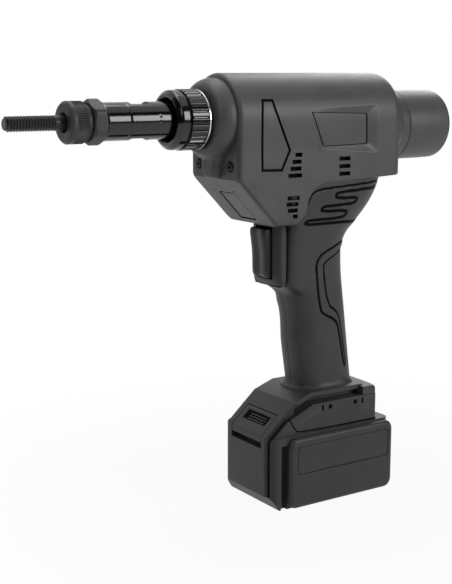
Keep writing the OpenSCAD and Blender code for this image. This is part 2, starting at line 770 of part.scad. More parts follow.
module locking_ring() color("#1b1b1c") difference() {
    turned(nose_z, [
        [tube_r + clear, ring_x0 + ring_mouth_l], [ring_mouth_r, ring_x0], [ring_lip_r, ring_x0],
        [ring_r - flute_r / 2, ring_x0 + ring_lip_l],
        [ring_r - flute_r / 2, ring_x0 + ring_lip_l + ring_band_l],
        [ring_r - ring_groove_depth, ring_x0 + ring_lip_l + ring_band_l],
        [ring_r - ring_groove_depth, ring_x0 + ring_lip_l + ring_band_l + ring_groove_l],
        [ring_r, ring_x0 + ring_lip_l + ring_band_l + ring_groove_l], [ring_r, ring_x1],
        [cover_neck_r + clear, ring_x1], [cover_neck_r + clear, cover_x - cover_neck_l - clear],
        [tube_r + clear, cover_x - cover_neck_l - clear]]);
    for (i = [0 : flute_n - 1])
        translate([0, 0, nose_z]) rotate([360 / flute_n * i, 0, 0])
            rod(ring_r, flute_r, ring_x0 + ring_lip_l + ring_band_l + ring_groove_l / 2, ring_x1 - flute_r);
}

// Ball screw that is pulled back without turning
module pull_screw() color("#8a8c8e") difference() {
    turned(nose_z, [[0, adapter_x1 - nose_pin_l], [nose_pin_r, adapter_x1 - nose_pin_l],
        [nose_pin_r, adapter_x1 + clear], [screw_r, adapter_x1 + clear], [screw_r, pull_screw_x1],
        [0, pull_screw_x1]]);
    rod(nose_z, socket_r, pull_screw_x1 - socket_l, pull_screw_x1 + cut);
}

module crosshead() color("#77797b") difference() {
    block([guide_x0 + crosshead_offset, -crosshead_w / 2, nose_z - crosshead_h / 2],
        [guide_x0 + crosshead_offset + crosshead_l, crosshead_w / 2, nose_z + crosshead_h / 2]);
    rod(nose_z, screw_r + fit, guide_x0, guide_x0 + guide_l);
}

module guide_tube() color("#909294") difference() {
    rod(nose_z, guide_r, guide_x0, guide_x0 + guide_l);
    block([guide_x0 - cut, -crosshead_w / 2 - fit, nose_z - crosshead_h / 2 - fit],
        [guide_x0 + guide_l + cut, crosshead_w / 2 + fit, nose_z + crosshead_h / 2 + fit]);
    rod(nose_z, screw_r + clear, guide_x0 - cut, guide_x0 + guide_l + cut);
}

module drive_nut() color("#7d7f81") difference() {
    union() {
        gear(nose_z, nut_teeth, spur_module, 0, gear_x0, gear_x1);
        rod(nose_z, hub_r, gear_x0, gear_x1 + hub_l);
    }
    rod(nose_z, screw_r + fit, gear_x0 - cut, gear_x1 + hub_l + cut);
}

module thrust_bearing() color("#9a9c9e") {
    x0 = gear_x0 - seat - thrust_l;
    race = thrust_race_share * thrust_l;
    turned(nose_z, [[thrust_bore_r, x0], [thrust_r, x0], [thrust_r, x0 + race],
        [thrust_r - thrust_groove, x0 + race], [thrust_r - thrust_groove, x0 + thrust_l - race],
        [thrust_r, x0 + thrust_l - race], [thrust_r, x0 + thrust_l], [thrust_bore_r, x0 + thrust_l]]);
}

bearing_x0 = gear_x1 + hub_l - bearing_l - bearing_offset;
module radial_bearing() color("#9a9c9e") turned(nose_z, [
    [hub_r + fit, bearing_x0], [(hub_r + bearing_r) / 2 - bearing_groove, bearing_x0],
    [(hub_r + bearing_r) / 2, bearing_x0 + bearing_groove],
    [(hub_r + bearing_r) / 2 + bearing_groove, bearing_x0],
    [bearing_r, bearing_x0], [bearing_r, bearing_x0 + bearing_l], [hub_r + fit, bearing_x0 + bearing_l]]);

bearing_x1 = bearing_x0 + bearing_l;
module bearing_carrier() color("#a3a5a7") turned(nose_z, [
    [bearing_r + fit, bearing_x0], [bore_r - seat, bearing_x0], [bore_r - seat, bearing_x1 + carrier_lip],
    [bearing_r - carrier_lip, bearing_x1 + carrier_lip], [bearing_r - carrier_lip, bearing_x1],
    [bearing_r + fit, bearing_x1]]);

idler_phase = mesh_phase(nut_teeth, 0, -90, idler_teeth);
pinion_phase = mesh_phase(idler_teeth, idler_phase, -90, pinion_teeth);
module idler_gear() color("#858789") {
    gear(idler_z, idler_teeth, spur_module, idler_phase, gear_x0, gear_x1);
    rod(idler_z, idler_shaft_r, gear_x0 - idler_shaft_l, gear_x1);
}

// Angle of a planet, measured from +Y towards +Z
function planet_angle(i) = 360 / planet_n * i;
module planet_carrier() color("#858789") {
    gear(motor_z, pinion_teeth, spur_module, pinion_phase, gear_x0, bush_x0 + fit);
    rod(motor_z, carrier_r, bush_x0 + fit, ring_gear_x0 - fit);
    for (i = [0 : planet_n - 1])
        rod(motor_z + planet_orbit_r * sin(planet_angle(i)), pin_r, bush_x0 + carrier_t / 2,
            ring_gear_x0 + gear_gap + planet_l, planet_orbit_r * cos(planet_angle(i)));
}

module planet_gear(i) color("#b08d4a") {
    y = planet_orbit_r * cos(planet_angle(i));
    z = motor_z + planet_orbit_r * sin(planet_angle(i));
    difference() {
        gear(z, planet_teeth, planet_module, planet_angle(i) * (1 - ring_teeth / planet_teeth),
            ring_gear_x0 + gear_gap, ring_gear_x0 + gear_gap + planet_l, y);
        rod(z, pin_r + fit, ring_gear_x0, ring_gear_x1, y);
    }
}
module planet_gear_a() planet_gear(0);
module planet_gear_b() planet_gear(1);
module planet_gear_c() planet_gear(2);

// Toothed ring, with the bush that the carrier turns in
module ring_gear() color("#7d7f81") difference() {
    rod(motor_z, ring_gear_r, bush_x0, ring_gear_x1);
    rod(motor_z, carrier_r + fit, bush_x0 - cut, ring_gear_x0 + cut);
    translate([0, 0, motor_z]) along_x(ring_gear_x0, ring_gear_x1 + cut)
        polygon(gear_points(ring_teeth, planet_module, dedendum_share * planet_module,
            addendum_share * planet_module, -backlash));
}

module motor_can() color("#6a6c6e") difference() {
    rod(motor_z, motor_r, motor_x0, motor_x1);
    rod(motor_z, motor_r - can_t, motor_x0 + can_t, motor_x1 + cut);
    rod(motor_z, shaft_r + fit, motor_x0 - cut, motor_x0 + 2 * can_t);
}

module motor_magnets() color("#3c3c3e") difference() {
    pipe(motor_z, motor_r - can_t - fit, core_r + air_gap, motor_x0 + core_offset,
        motor_x0 + core_offset + core_l);
    block([motor_x0, -motor_r * sin(magnet_gap_angle), motor_z - motor_r],
        [motor_x1, motor_r * sin(magnet_gap_angle), motor_z + motor_r]);
}

// Turns its children about a line along X at a height
module rotate_about(z, angle) translate([0, 0, z]) rotate([angle, 0, 0]) translate([0, 0, -z]) children();

// Shaft, slotted core, windings, commutator and sun pinion
module armature() color("#a86d3c") {
    difference() {
        rod(motor_z, core_r, motor_x0 + core_offset, motor_x0 + core_offset + core_l);
        for (i = [0 : core_slots - 1]) rotate_about(motor_z, 360 / core_slots * i)
            block([motor_x0, -slot_w / 2, motor_z + core_r - slot_depth],
                [motor_x1, slot_w / 2, motor_z + motor_r]);
    }
    rod(motor_z, winding_r, motor_x0 + core_offset - winding_l,
        motor_x0 + core_offset + core_l + winding_l);
    rod(motor_z, commutator_r, motor_x0 + core_offset + core_l,
        motor_x0 + core_offset + core_l + winding_l + commutator_l);
    rod(motor_z, shaft_r, ring_gear_x0 + gear_gap, motor_x1 + brush_cap_l - gear_gap);
    gear(motor_z, sun_teeth, planet_module, 0, ring_gear_x0 + gear_gap, ring_gear_x1);
}

module motor_fan() color("#2f3032") difference() {
    union() {
        rod(motor_z, fan_hub_r, fan_x0, fan_x0 + fan_l);
        rod(motor_z, fan_r, fan_x0, fan_x0 + fan_disc_t);
        for (i = [0 : fan_blades - 1]) rotate_about(motor_z, 360 / fan_blades * i)
            block([fan_x0, -fan_blade_t / 2, motor_z + fan_hub_r - cut],
                [fan_x0 + fan_l, fan_blade_t / 2, motor_z + fan_r - fan_blade_t]);
    }
    rod(motor_z, shaft_r + fit, fan_x0 - cut, fan_x0 + fan_l + cut);
}

module brush_cap() color("#2b2c2e") difference() {
    rod(motor_z, motor_r, motor_x1, motor_x1 + brush_cap_l);
    rod(motor_z, motor_r - brush_cap_t, motor_x1 - cut, motor_x1 + brush_cap_l - brush_cap_t);
    rod(motor_z, shaft_r + fit, motor_x1, motor_x1 + brush_cap_l + cut);
}

// One ring of the handle's lofted form, a rounded oval
function handle_ring(s, grow) =
    let (z = foot_top_z + s[0] * handle_form_h, x0 = s[1] * grip_depth - grow,
        x1 = s[2] * grip_depth + grow, b = s[3] * grip_w / 2 + grow)
    [for (i = [0 : handle_sides - 1])
        let (c = cos(360 / handle_sides * i), d = sin(360 / handle_sides * i),
            e = 2 / (c < 0 ? s[4] : handle_power))
        [(x0 + x1) / 2 + (x1 - x0) / 2 * sign(c) * pow(abs(c), e), b * sign(d) * pow(abs(d), e), z]];

// Handle form, grown outwards by a distance
module handle_form(grow) {
    n = handle_sides;
    last = len(handle_shares) - 1;
    polyhedron(
        points = [for (s = handle_shares, p = handle_ring(s, grow)) p],
        faces = concat(
            [for (k = [0 : last - 1], i = [0 : n - 1])
                [k * n + i, (k + 1) * n + i, (k + 1) * n + (i + 1) % n]],
            [for (k = [0 : last - 1], i = [0 : n - 1])
                [k * n + i, (k + 1) * n + (i + 1) % n, k * n + (i + 1) % n]],
            [[for (i = [0 : n - 1]) i], [for (i = [n - 1 : -1 : 0]) last * n + i]]));
}

function grip_point(p) = [p[1] * grip_depth, foot_top_z + p[0] * handle_form_h];
grip_outline = [for (p = concat(grip_low_shares, grip_high_shares)) grip_point(p)];

// Hollow handle, before it is split
module handle() difference() {
    union() {
        difference() {
            handle_form(0);
            handle_form(-wall);
        }
        intersection() {
            handle_form(-wall / 2);
            union() {
                for (p = handle_screws) cross_rod(p[0], p[1], boss_r, -barrel_r, barrel_r);
                for (x = [switch_x0 + switch_rib_l, switch_x0 + switch_l - 2 * switch_rib_l],
                    side = [-1, 1])
                    block([x, side < 0 ? -barrel_r : switch_w / 2, switch_z0],
                        [x + switch_rib_l, side < 0 ? -switch_w / 2 : barrel_r, switch_z0 + switch_h]);
            }
        }
    }
    along_y(-barrel_r, barrel_r) polygon(belly_outline(-web_gap));
    block([handle_front_x - cut, -trigger_w / 2 - clear, trigger_z0 - clear],
        [switch_x0 - switch_gap, trigger_w / 2 + clear, trigger_z1 + clear]);
    screw_holes(handle_screws);
    for (side = [-1, 1]) difference() {
        along_y(side < 0 ? -battery_w : 0, side < 0 ? 0 : battery_w) polygon(grip_outline);
        handle_form(-grip_t);
    }
}

module grip_strip(side) color("#2a2b2d") intersection() {
    difference() {
        handle_form(grip_proud);
        handle_form(-grip_t);
    }
    along_y(side < 0 ? -battery_w : 0, side < 0 ? 0 : battery_w) polygon(grip_outline);
}

module handle_left() color("#343537") half(-1) handle();
module handle_right() color("#343537") half(1) handle();
module grip_strip_left() grip_strip(-1);
module grip_strip_right() grip_strip(1);

// Finger piece with a hollowed front and a stem into the switch
module trigger() color("#2e2f31") {
    bow = trigger_bow_share * trigger_out;
    along_y(-trigger_w / 2, trigger_w / 2) polygon(concat(
        [for (i = [0 : trigger_steps]) let (t = i / trigger_steps)
            [bezel_x0 - trigger_out + bow * sin(180 * t), trigger_z0 + trigger_h * t]],
        [[bezel_x0 + trigger_rear_l, trigger_z1], [bezel_x0 + trigger_rear_l, trigger_z0]]));
    rod(trigger_mid_z, stem_r, bezel_x0 + trigger_rear_l, switch_x0 - switch_gap);
}

module trigger_bezel() color("#313234") difference() {
    along_y(-bezel_w / 2, bezel_w / 2) polygon(concat(
        [[bezel_x0, belly_z - clear], [bezel_x0, belly_z - bezel_drop]],
        arc(bezel_x1 - bezel_corner_r, belly_z - bezel_drop + bezel_corner_r, bezel_corner_r, -90, 0),
        [[bezel_x1, belly_z - clear]]));
    block([bezel_x0 - cut, -trigger_w / 2 - clear, trigger_z0 - clear],
        [bezel_x1 + cut, trigger_w / 2 + clear, trigger_z1 + clear]);
}

module trigger_switch() color("#222324") difference() {
    block([switch_x0, -switch_w / 2, switch_z0],
        [switch_x0 + switch_l, switch_w / 2, switch_z0 + switch_h]);
    rod(trigger_mid_z, stem_r + clear, switch_x0 - cut, switch_x0 + trigger_travel + 2 * switch_gap);
}

module trigger_spring() color("#b9bbbd")
    pipe(trigger_mid_z, trigger_spring_r, stem_r + clear, bezel_x0 + trigger_rear_l, switch_x0);

module control_board() color("#2f5d3c")
    block([0, -grip_w / 2 + wall + board_gap, foot_top_z + board_shares[0] * handle_form_h],
        [board_t, grip_w / 2 - wall - board_gap, foot_top_z + board_shares[1] * handle_form_h]);

// Foot plate with the T-shaped rail that the battery slides on
module foot() color("#343537") difference() {
    union() {
        along_y(-foot_w / 2, foot_w / 2) polygon([[foot_x0, foot_z], [foot_x0, foot_z + foot_edge],
            [foot_x0 + foot_slope_l, foot_top_z], [foot_x0 + foot_l, foot_top_z],
            [foot_x0 + foot_l, foot_z]]);
        block([foot_x0 + clear, -rail_w / 2, channel_z + clear], [rail_x1, rail_w / 2, foot_z]);
        block([foot_x0 + clear, -flange_w / 2, channel_z + clear],
            [rail_x1, flange_w / 2, channel_z + clear + flange_t]);
    }
    for (side = [-1, 1]) {
        along_y(side * foot_w / 2 - foot_relief_w, side * foot_w / 2 + foot_relief_w) polygon([
            [foot_x0 + foot_slope_l * (1 - foot_relief_h / (foot_t - foot_edge)), foot_z - cut],
            [foot_x0 + foot_slope_l * (1 - foot_relief_h / (foot_t - foot_edge)), foot_z],
            [foot_x0 + foot_slope_l, foot_z + foot_relief_h],
            [foot_x0 + foot_l + cut, foot_z + foot_relief_h],
            [foot_x0 + foot_l + cut, foot_z - cut]]);
        block([foot_x0 - cut, side * contact_y - fork_w, channel_z - cut],
            [blade_l + clear, side * contact_y + fork_w, channel_z + fork_h + clear]);
    }
    block([-terminal_l / 2, -terminal_w / 2, channel_z + fork_h + clear],
        [terminal_l / 2, terminal_w / 2, channel_z + fork_h + clear + terminal_h]);
}

module terminal_block() color("#b98b3d") {
    block([-terminal_l / 2, -terminal_w / 2, channel_z + fork_h + clear],
        [terminal_l / 2, terminal_w / 2, channel_z + fork_h + clear + terminal_h]);
    for (side = [-1, 1])
        block([0, side * contact_y - blade_t / 2, channel_z + clear],
            [blade_l, side * contact_y + blade_t / 2, channel_z + fork_h + 2 * clear]);
}

// Latch button: down the front, over the corner and up the slope
corner = [panel_x0, panel_corner_z];
slope_d = [slope_x, slope_z] - corner;
slope_u = slope_d / norm(slope_d);
slope_n = [slope_u[1], -slope_u[0]];
function latch_inner(depth) = corner + [depth, depth * (1 - slope_n[0]) / slope_n[1]];
latch_outline = [
    corner - [0, latch_drop], corner, corner + slope_u * latch_l,
    corner + slope_u * latch_l + slope_n * latch_t, latch_inner(latch_t), corner + [latch_t, -latch_drop]];

// Room for the button over its travel
latch_deep = latch_t + latch_gap;
latch_far = corner + slope_u * (latch_l + latch_gap);
pocket_low = latch_inner(latch_deep) - [0, latch_travel];
pocket_top = latch_far + slope_n * latch_deep - [0, latch_travel];
pocket_outline = [
    corner - [cut, latch_drop + latch_travel + latch_gap], corner + [-cut, cut], latch_far - slope_n * cut,
    latch_far + slope_n * latch_deep, pocket_top, pocket_low,
    corner + [latch_deep, -latch_drop - latch_travel - latch_gap]];
module latch_pocket() along_y(-latch_w / 2 - latch_gap, latch_w / 2 + latch_gap) polygon(pocket_outline);

module latch_button() color("#303133") difference() {
    along_y(-latch_w / 2, latch_w / 2) polygon(latch_outline);
    along_y(-latch_window_w / 2, latch_window_w / 2) polygon([
        corner + slope_u * latch_window_shares[0] * latch_l - slope_n * cut,
        corner + slope_u * latch_window_shares[1] * latch_l - slope_n * cut,
        corner + slope_u * latch_window_shares[1] * latch_l + slope_n * latch_window_t,
        corner + slope_u * latch_window_shares[0] * latch_l + slope_n * latch_window_t]);
}

// Return spring of the latch, drawn as the sleeve that it fills
module latch_spring() color("#b9bbbd") intersection() {
    translate([latch_spring_x, 0, 0]) cylinder(r = latch_spring_r, h = nose_z);
    along_y(-latch_w, latch_w) polygon([latch_outline[4], latch_outline[3], pocket_top, pocket_low]);
}

// Places of the base screws
base_screws = [for (x = [cavity_x0 - base_boss_l / 2, cavity_x1 + base_boss_l / 2], side = [-1, 1])
    [x, side * base_screw_y]];

// Front edge of the case and battery top, set back from the panel: front face, brow, knee and top
function brow_z(x) = panel_corner_z - brow_drop + (x - panel_x0) * slope_d[1] / slope_d[0];
skirt_x0 = panel_x0 + brow_drop * slope_d[0] / slope_d[1];
knee_x = panel_x0 + knee_setback;
skirt_top_x = panel_x0 + skirt_slope_l;
brow_line = [[core_x0, panel_z0], [core_x0, brow_z(core_x0)], [knee_x, brow_z(knee_x)],
    [skirt_top_x, skirt_top_z]];

// Narrow grooves on both sides of the front panel
module front_grooves()
    for (side = [-1, 1])
        along_y(side * (panel_w + groove_w) / 2 - groove_w / 2,
            side * (panel_w + groove_w) / 2 + groove_w / 2)
            polygon(concat([for (p = brow_line) p - slope_n * cut],
                [for (i = [len(brow_line) - 1 : -1 : 0]) brow_line[i] + slope_n * groove_depth]));

module battery_case() color("#2f3032") difference() {
    intersection() {
        along_y(-core_w / 2, core_w / 2) polygon([
            [core_x0, core_chin_h], [core_x0, brow_z(core_x0)], [skirt_x0, case_top_z],
            [core_x1, case_top_z], [core_x1, 0], [core_x0 + core_chin_l, 0]]);
        linear_extrude(skirt_top_z) round_rect(core_x0, -core_w / 2, core_x1, core_w / 2, core_corner_r);
    }
    front_grooves();
    for (side = [-1, 1])
        block([-pad_l / 2 - side_groove_l, side * core_w / 2 - side_groove_depth, -cut],
            [-pad_l / 2, side * core_w / 2 + side_groove_depth, pad_h - side_groove_drop]);
    block([cavity_x0, -core_w / 2 + case_t, case_t], [cavity_x1, core_w / 2 - case_t, case_top_z + cut]);
    for (p = base_screws) translate([p[0], p[1], -cut]) {
        cylinder(r = base_shank_r + fit, h = case_top_z + 2 * cut);
        cylinder(r = base_screw_r + seat, h = base_screw_sink + screw_head_h + cut);
    }
    latch_pocket();
}

// Height of the battery top's shallow front slope at a place along X
function skirt_slope_z(x) =
    brow_z(knee_x) + (x - knee_x) * (skirt_top_z - brow_z(knee_x)) / (skirt_top_x - knee_x);

// Battery top with the channel for the rail, and marks on both sides
module battery_top() color("#303133") difference() {
    along_y(-skirt_w / 2, skirt_w / 2) polygon([
        [skirt_x0, case_top_z], [knee_x, brow_z(knee_x)], [skirt_top_x, skirt_top_z],
        [skirt_x1, skirt_top_z], [skirt_x1, case_top_z]]);
    block([foot_x0, -rail_w / 2 - clear, channel_z],
        [skirt_x1 + cut, rail_w / 2 + clear, skirt_top_z + cut]);
    block([foot_x0, -flange_w / 2 - clear, channel_z],
        [skirt_x1 + cut, flange_w / 2 + clear, channel_z + flange_t + 2 * clear]);
    for (p = base_screws) translate([p[0], p[1], case_top_z - cut])
        cylinder(r = base_shank_r + fit, h = base_screw_l + cut + seat);
    for (side = [-1, 1]) {
        for (share = round_mark_shares)
            cross_rod(skirt_x0 + share * (skirt_x1 - skirt_x0), skirt_top_z - mark_drop, mark_r,
                side * skirt_w / 2 - mark_depth, side * skirt_w / 2 + mark_depth);
        for (share = slot_mark_shares)
            translate([skirt_x0 + share * (skirt_x1 - skirt_x0), side * skirt_w / 2,
                skirt_top_z - mark_drop])
                cube([mark_w, 2 * mark_depth, mark_h], center = true);
    }
    front_grooves();
    latch_pocket();
}

// Front band of the battery, from the chin up the slope to the foot
module front_panel() color("#333436") difference() {
    intersection() {
        along_y(-panel_w / 2, panel_w / 2) polygon([
            [panel_x0, panel_z0], corner, [slope_x, slope_z], [slope_x, skirt_slope_z(slope_x)],
            brow_line[2], brow_line[1], brow_line[0]]);
        linear_extrude(nose_z) round_rect(panel_x0, -panel_w / 2, core_x1, panel_w / 2, panel_edge_r);
    }
    latch_pocket();
}

module side_pad(side) color("#343537") difference() {
    along_y(side < 0 ? -battery_w / 2 : core_w / 2, side < 0 ? -core_w / 2 : battery_w / 2)
        round_rect(-pad_l / 2, 0, pad_l / 2, pad_h, pad_corner_r);
    along_y(side * battery_w / 2 - label_depth, side * battery_w / 2 + label_depth)
        round_rect(-pad_l / 2 + label_inset, pad_h - label_inset / 2 - label_h, pad_l / 2 - label_inset,
            pad_h - label_inset / 2, label_inset / 2);
}
module side_pad_left() side_pad(-1);
module side_pad_right() side_pad(1);

// As many cells side by side as the case has room for, and one fewer in the row above
cell_n = floor((core_w - 2 * case_t + cell_gap) / cell_step);
cell_places = [for (row = [0, 1]) for (i = [0 : cell_n - 1 - row])
    [(i - (cell_n - 1 - row) / 2) * cell_step, cell_z + row * cell_row_h]];
module cell_rods(r) for (p = cell_places) rod(p[1], r, cell_x - cell_l / 2, cell_x + cell_l / 2, p[0]);
module cells() color("#5b7a94") cell_rods(cell_r);

module cell_holder() color("#d8d8d0") difference() {
    for (x = [cavity_x0 + seat, cavity_x1 - seat - holder_t])
        block([x, -core_w / 2 + case_t + seat, case_t],
            [x + holder_t, core_w / 2 - case_t - seat, cell_z + cell_row_h + cell_r + case_t]);
    cell_rods(cell_r + seat);
}

// Fork leaves on both sides of the tool's contact blades
module battery_contacts() color("#c9a24a")
    for (side = [-1, 1], leaf = [-1, 1])
        translate([0, side * contact_y + leaf * (blade_t / 2 + clear + fork_t / 2) - fork_t / 2, channel_z])
            cube([blade_l, fork_t, fork_h]);

module battery_screws() color("#2a2a2a")
    for (p = base_screws) difference() {
        union() {
            translate([p[0], p[1], base_screw_sink]) cylinder(r = base_screw_r, h = screw_head_h);
            translate([p[0], p[1], base_screw_sink])
                cylinder(r = base_shank_r, h = case_top_z + base_screw_l - base_screw_sink);
        }
        translate([p[0], p[1], 0]) cylinder(r = base_drive_r, h = screw_head_h);
    }

housing_left();
housing_right();
front_cover();
front_screws();
housing_screws();
side_panel_left();
side_panel_right();
nameplate_left();
nameplate_right();
diagonal_plate();
rear_drum();
pull_mandrel();
mandrel_adapter();
anvil();
lock_nut();
nose_tube();
locking_ring();
pull_screw();
crosshead();
guide_tube();
drive_nut();
thrust_bearing();
radial_bearing();
bearing_carrier();
idler_gear();
planet_carrier();
planet_gear_a();
planet_gear_b();
planet_gear_c();
ring_gear();
motor_can();
motor_magnets();
armature();
motor_fan();
brush_cap();
handle_left();
handle_right();
grip_strip_left();
grip_strip_right();
trigger();
trigger_bezel();
trigger_switch();
trigger_spring();
control_board();
foot();
terminal_block();
battery_case();
battery_top();
front_panel();
side_pad_left();
side_pad_right();
latch_button();
latch_spring();
cells();
cell_holder();
battery_contacts();
battery_screws();
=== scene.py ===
import json
import math

import bmesh
import bpy
import numpy as np
from bpy.props import FloatProperty, FloatVectorProperty, IntProperty, PointerProperty
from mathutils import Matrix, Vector


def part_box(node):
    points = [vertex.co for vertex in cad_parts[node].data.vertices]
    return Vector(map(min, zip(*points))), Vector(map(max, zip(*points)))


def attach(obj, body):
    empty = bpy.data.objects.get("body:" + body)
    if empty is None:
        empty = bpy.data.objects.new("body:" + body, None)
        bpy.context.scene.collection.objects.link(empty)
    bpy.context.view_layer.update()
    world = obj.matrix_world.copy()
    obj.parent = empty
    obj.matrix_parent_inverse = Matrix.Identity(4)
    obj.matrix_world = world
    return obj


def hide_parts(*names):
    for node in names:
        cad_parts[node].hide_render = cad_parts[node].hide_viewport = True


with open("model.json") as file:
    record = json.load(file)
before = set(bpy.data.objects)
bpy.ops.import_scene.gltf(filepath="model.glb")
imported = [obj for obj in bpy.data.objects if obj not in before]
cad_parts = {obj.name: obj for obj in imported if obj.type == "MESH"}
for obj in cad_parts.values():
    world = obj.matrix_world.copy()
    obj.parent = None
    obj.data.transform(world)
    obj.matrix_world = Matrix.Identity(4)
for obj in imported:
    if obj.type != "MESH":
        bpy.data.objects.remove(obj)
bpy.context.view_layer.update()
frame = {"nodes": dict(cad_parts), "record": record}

bl_info = {
    "name": "Battery rivet nut tool",
    "version": (1, 0, 0),
    "blender": (4, 5, 0),
    "location": "3D View > Sidebar > Rivet tool",
    "description": "Dresses the packed CAD model of a battery rivet nut tool and sets it in a studio",
    "category": "Object",
}

MM = 0.001
SIDES = ((-1, "left"), (1, "right"))


def span(node, axis=0):
    """Least and greatest place of a CAD node along an axis, in millimetres."""
    first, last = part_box(node)
    return first[axis] / MM, last[axis] / MM


# Levels of the tool in millimetres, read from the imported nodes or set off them
NOSE_Z = sum(span("nose_tube", 2)) / 2
DRUM_Z = sum(span("rear_drum", 2)) / 2
FRONT_X, SEAM_X = span("housing_left")
BELLY_Z, CROWN_Z = span("housing_left", 2)
FOOT_TOP = span("foot", 2)[1]
BARREL_R = CROWN_Z - NOSE_Z
BODY_L = 149
REAR_X = FRONT_X + 146.6
FLANK_Y = BARREL_R - 0.5
CHIN_Z = BELLY_Z + 34
CHIN_X = FRONT_X + 32.5
STEP_X = FRONT_X + 63
WEB_Z = BELLY_Z + 29
EDGE_R, REAR_R = 3, 8
HANDLE_H = WEB_Z - FOOT_TOP
HANDLE_FRONT = -39.9
GUARD_FRONT, GUARD_REAR, GUARD_HALF = -50, -39.5, 17.6
WELL_LOW, WELL_TOP = 168.2, 206.3
SCREW_FLOOR = 17.5
SKIRT_Y = 30.05

# Outlines on the tool's sides, in millimetres of the side view (x, z)
PANEL = np.array([
    (-71.5, 298), (-61.7, 298), (-60.3, 291.1), (-57.6, 284.1), (-54.3, 277), (-51, 269.8), (-47.6, 262.6),
    (-54.9, 248), (-72.9, 248.5), (-73.3, 268.7), (-73.5, 278.5), (-73.4, 288.3)])
NAMEPLATE = np.array([(-30.4, 288.6), (21.7, 286.9), (22.7, 264.7), (-19.2, 263.9)])
NAME_BANK = np.array([(-32, 290.2), (30.4, 292.8), (31, 258.6), (-20, 262.8)])
WEB_LINE = np.array([(-31, 224), (-30, 227.5), (-27.6, 231), (-22.5, 233.4), (-10, 234.5), (45, 237.2)])
SNAKE = np.array([
    (52, 233.2), (28.9, 232.1), (-4, 230.8), (-6.6, 228.8), (-3.6, 226.3), (14.8, 226.6), (14, 223.2),
    (9.7, 221.5), (-15.2, 221.4), (-18.8, 219.5), (-16.2, 217.4), (6.1, 217.3), (5.5, 213.7), (1.1, 211.8),
    (-28.6, 211.7), (-31.9, 210.1), (-29.5, 208.3), (7, 208.4), (36, 207.4)])
STRIP = np.array([
    (14, 195), (3.4, 191.1), (-10.1, 186), (-15.2, 181.2), (-16.3, 174.7), (-11.1, 142.8), (-7.3, 139.4),
    (3.2, 134.3), (6.2, 128.6), (13.4, 96.5), (15.6, 99), (12.3, 112.5), (7.6, 134.6), (4, 141.1),
    (-4.6, 146.6), (-9.9, 175.6), (-8.1, 179.1), (4, 184.8), (15, 190)])
SKIRT_SEAM = np.array([(36, 55.5), (-37.5, 56.1), (-40.5, 58.6), (-45.5, 66.6)])

# Vents: lowest slot over the belly, step up to the next, and each slot's ends as shares of the body's length
VENT_GROUPS = {
    name: np.array([(FRONT_X + BODY_L * a, FRONT_X + BODY_L * b, BELLY_Z + base + step * k)
                    for k, (a, b) in enumerate(ends)])
    for name, base, step, ends in (
        ("upper", 35.8, 4.8, [(0.276, 0.357), (0.288, 0.352), (0.299, 0.352), (0.316, 0.357)]),
        ("lower", 7, 4.35, [(0.304, 0.333), (0.274, 0.333), (0.267, 0.337), (0.273, 0.343)]),
        ("middle", 35.2, 5.4, [(0.58, 0.648)] * 3))}
SLOT_H = 1.45
BED_RIM = 0.3
LIP = 0.12
PATCH_RIM = 3.5
PROUD = 0.03
VENT_BEDS = np.array([(g[:, 0].min() - BED_RIM, g[:, 1].max() + BED_RIM, g[:, 2].min() - SLOT_H - BED_RIM,
                       g[:, 2].max() + SLOT_H + BED_RIM) for g in VENT_GROUPS.values()])

# Screw holes in the right side, as places (x, z)
BODY_SCREWS = np.array([(FRONT_X + BODY_L * a, NOSE_Z + BARREL_R * b) for a, b in
                        [(0.24, 0.62), (0.51, 0.63), (0.51, -0.63), (0.80, -1.06)]])
HANDLE_SCREWS = np.array([(50.5 * a, FOOT_TOP + HANDLE_H * b) for a, b in
                          [(0.277, 0.058), (-0.16, 0.51), (0.594, 0.897)]])

# Handle: height share, front x, rear x, half width in mm and power of the front half's oval
HANDLE = np.array([
    (0, -21.5, 27.5, 19.6, 2.7), (0.2, -26, 23.2, 20, 2.7), (0.41, -30, 19, 20, 2.8),
    (0.475, -33.8, 17.8, 20, 3.2), (0.515, -39.9, 17.2, 20.2, 6), (0.56, -39.9, 16.4, 20.4, 9),
    (0.62, -39.9, 15.7, 20.8, 9), (0.69, -39.9, 15.8, 21.6, 9), (0.755, -39.9, 20, 23.4, 9),
    (0.81, -39.9, 28, 26.4, 9), (0.885, -39.9, 38.5, 28.8, 9), (0.95, -39.9, 45, 30, 9),
    (1.03, -39.9, 50, 30.4, 9)])
TAIL_POWER = 2.7


# Shapes as arrays

def ease(a, b, x):
    """Smooth step: 0 below a, 1 above b, and 3t^2 - 2t^3 between them."""
    t = np.clip((x - a) / (b - a), 0, 1)
    return t * t * (3 - 2 * t)


def fade(a, b, x):
    """Smooth step down: 1 below a, 0 above b."""
    return 1 - ease(a, b, x)


def arc(t):
    """Height of a unit quarter circle at a share t of its run, sqrt(1 - (1 - t)^2), with t held from 0 to
    1."""
    t = 1 - np.clip(t, 0, 1)
    return np.sqrt(1 - t * t)


def least(one, two, reach, swell=1):
    """Polynomial smooth least of two values, which blend where they are closer than a reach. The blend dips
    below both by up to a quarter of the reach, times swell."""
    h = np.clip(0.5 + 0.5 * (two - one) / reach, 0, 1)
    return two * (1 - h) + one * h - swell * reach * h * (1 - h)


def points(x, y, z):
    """Array of points whose coordinates are stretched to one shape."""
    return np.stack(np.broadcast_arrays(x, y, z), -1)


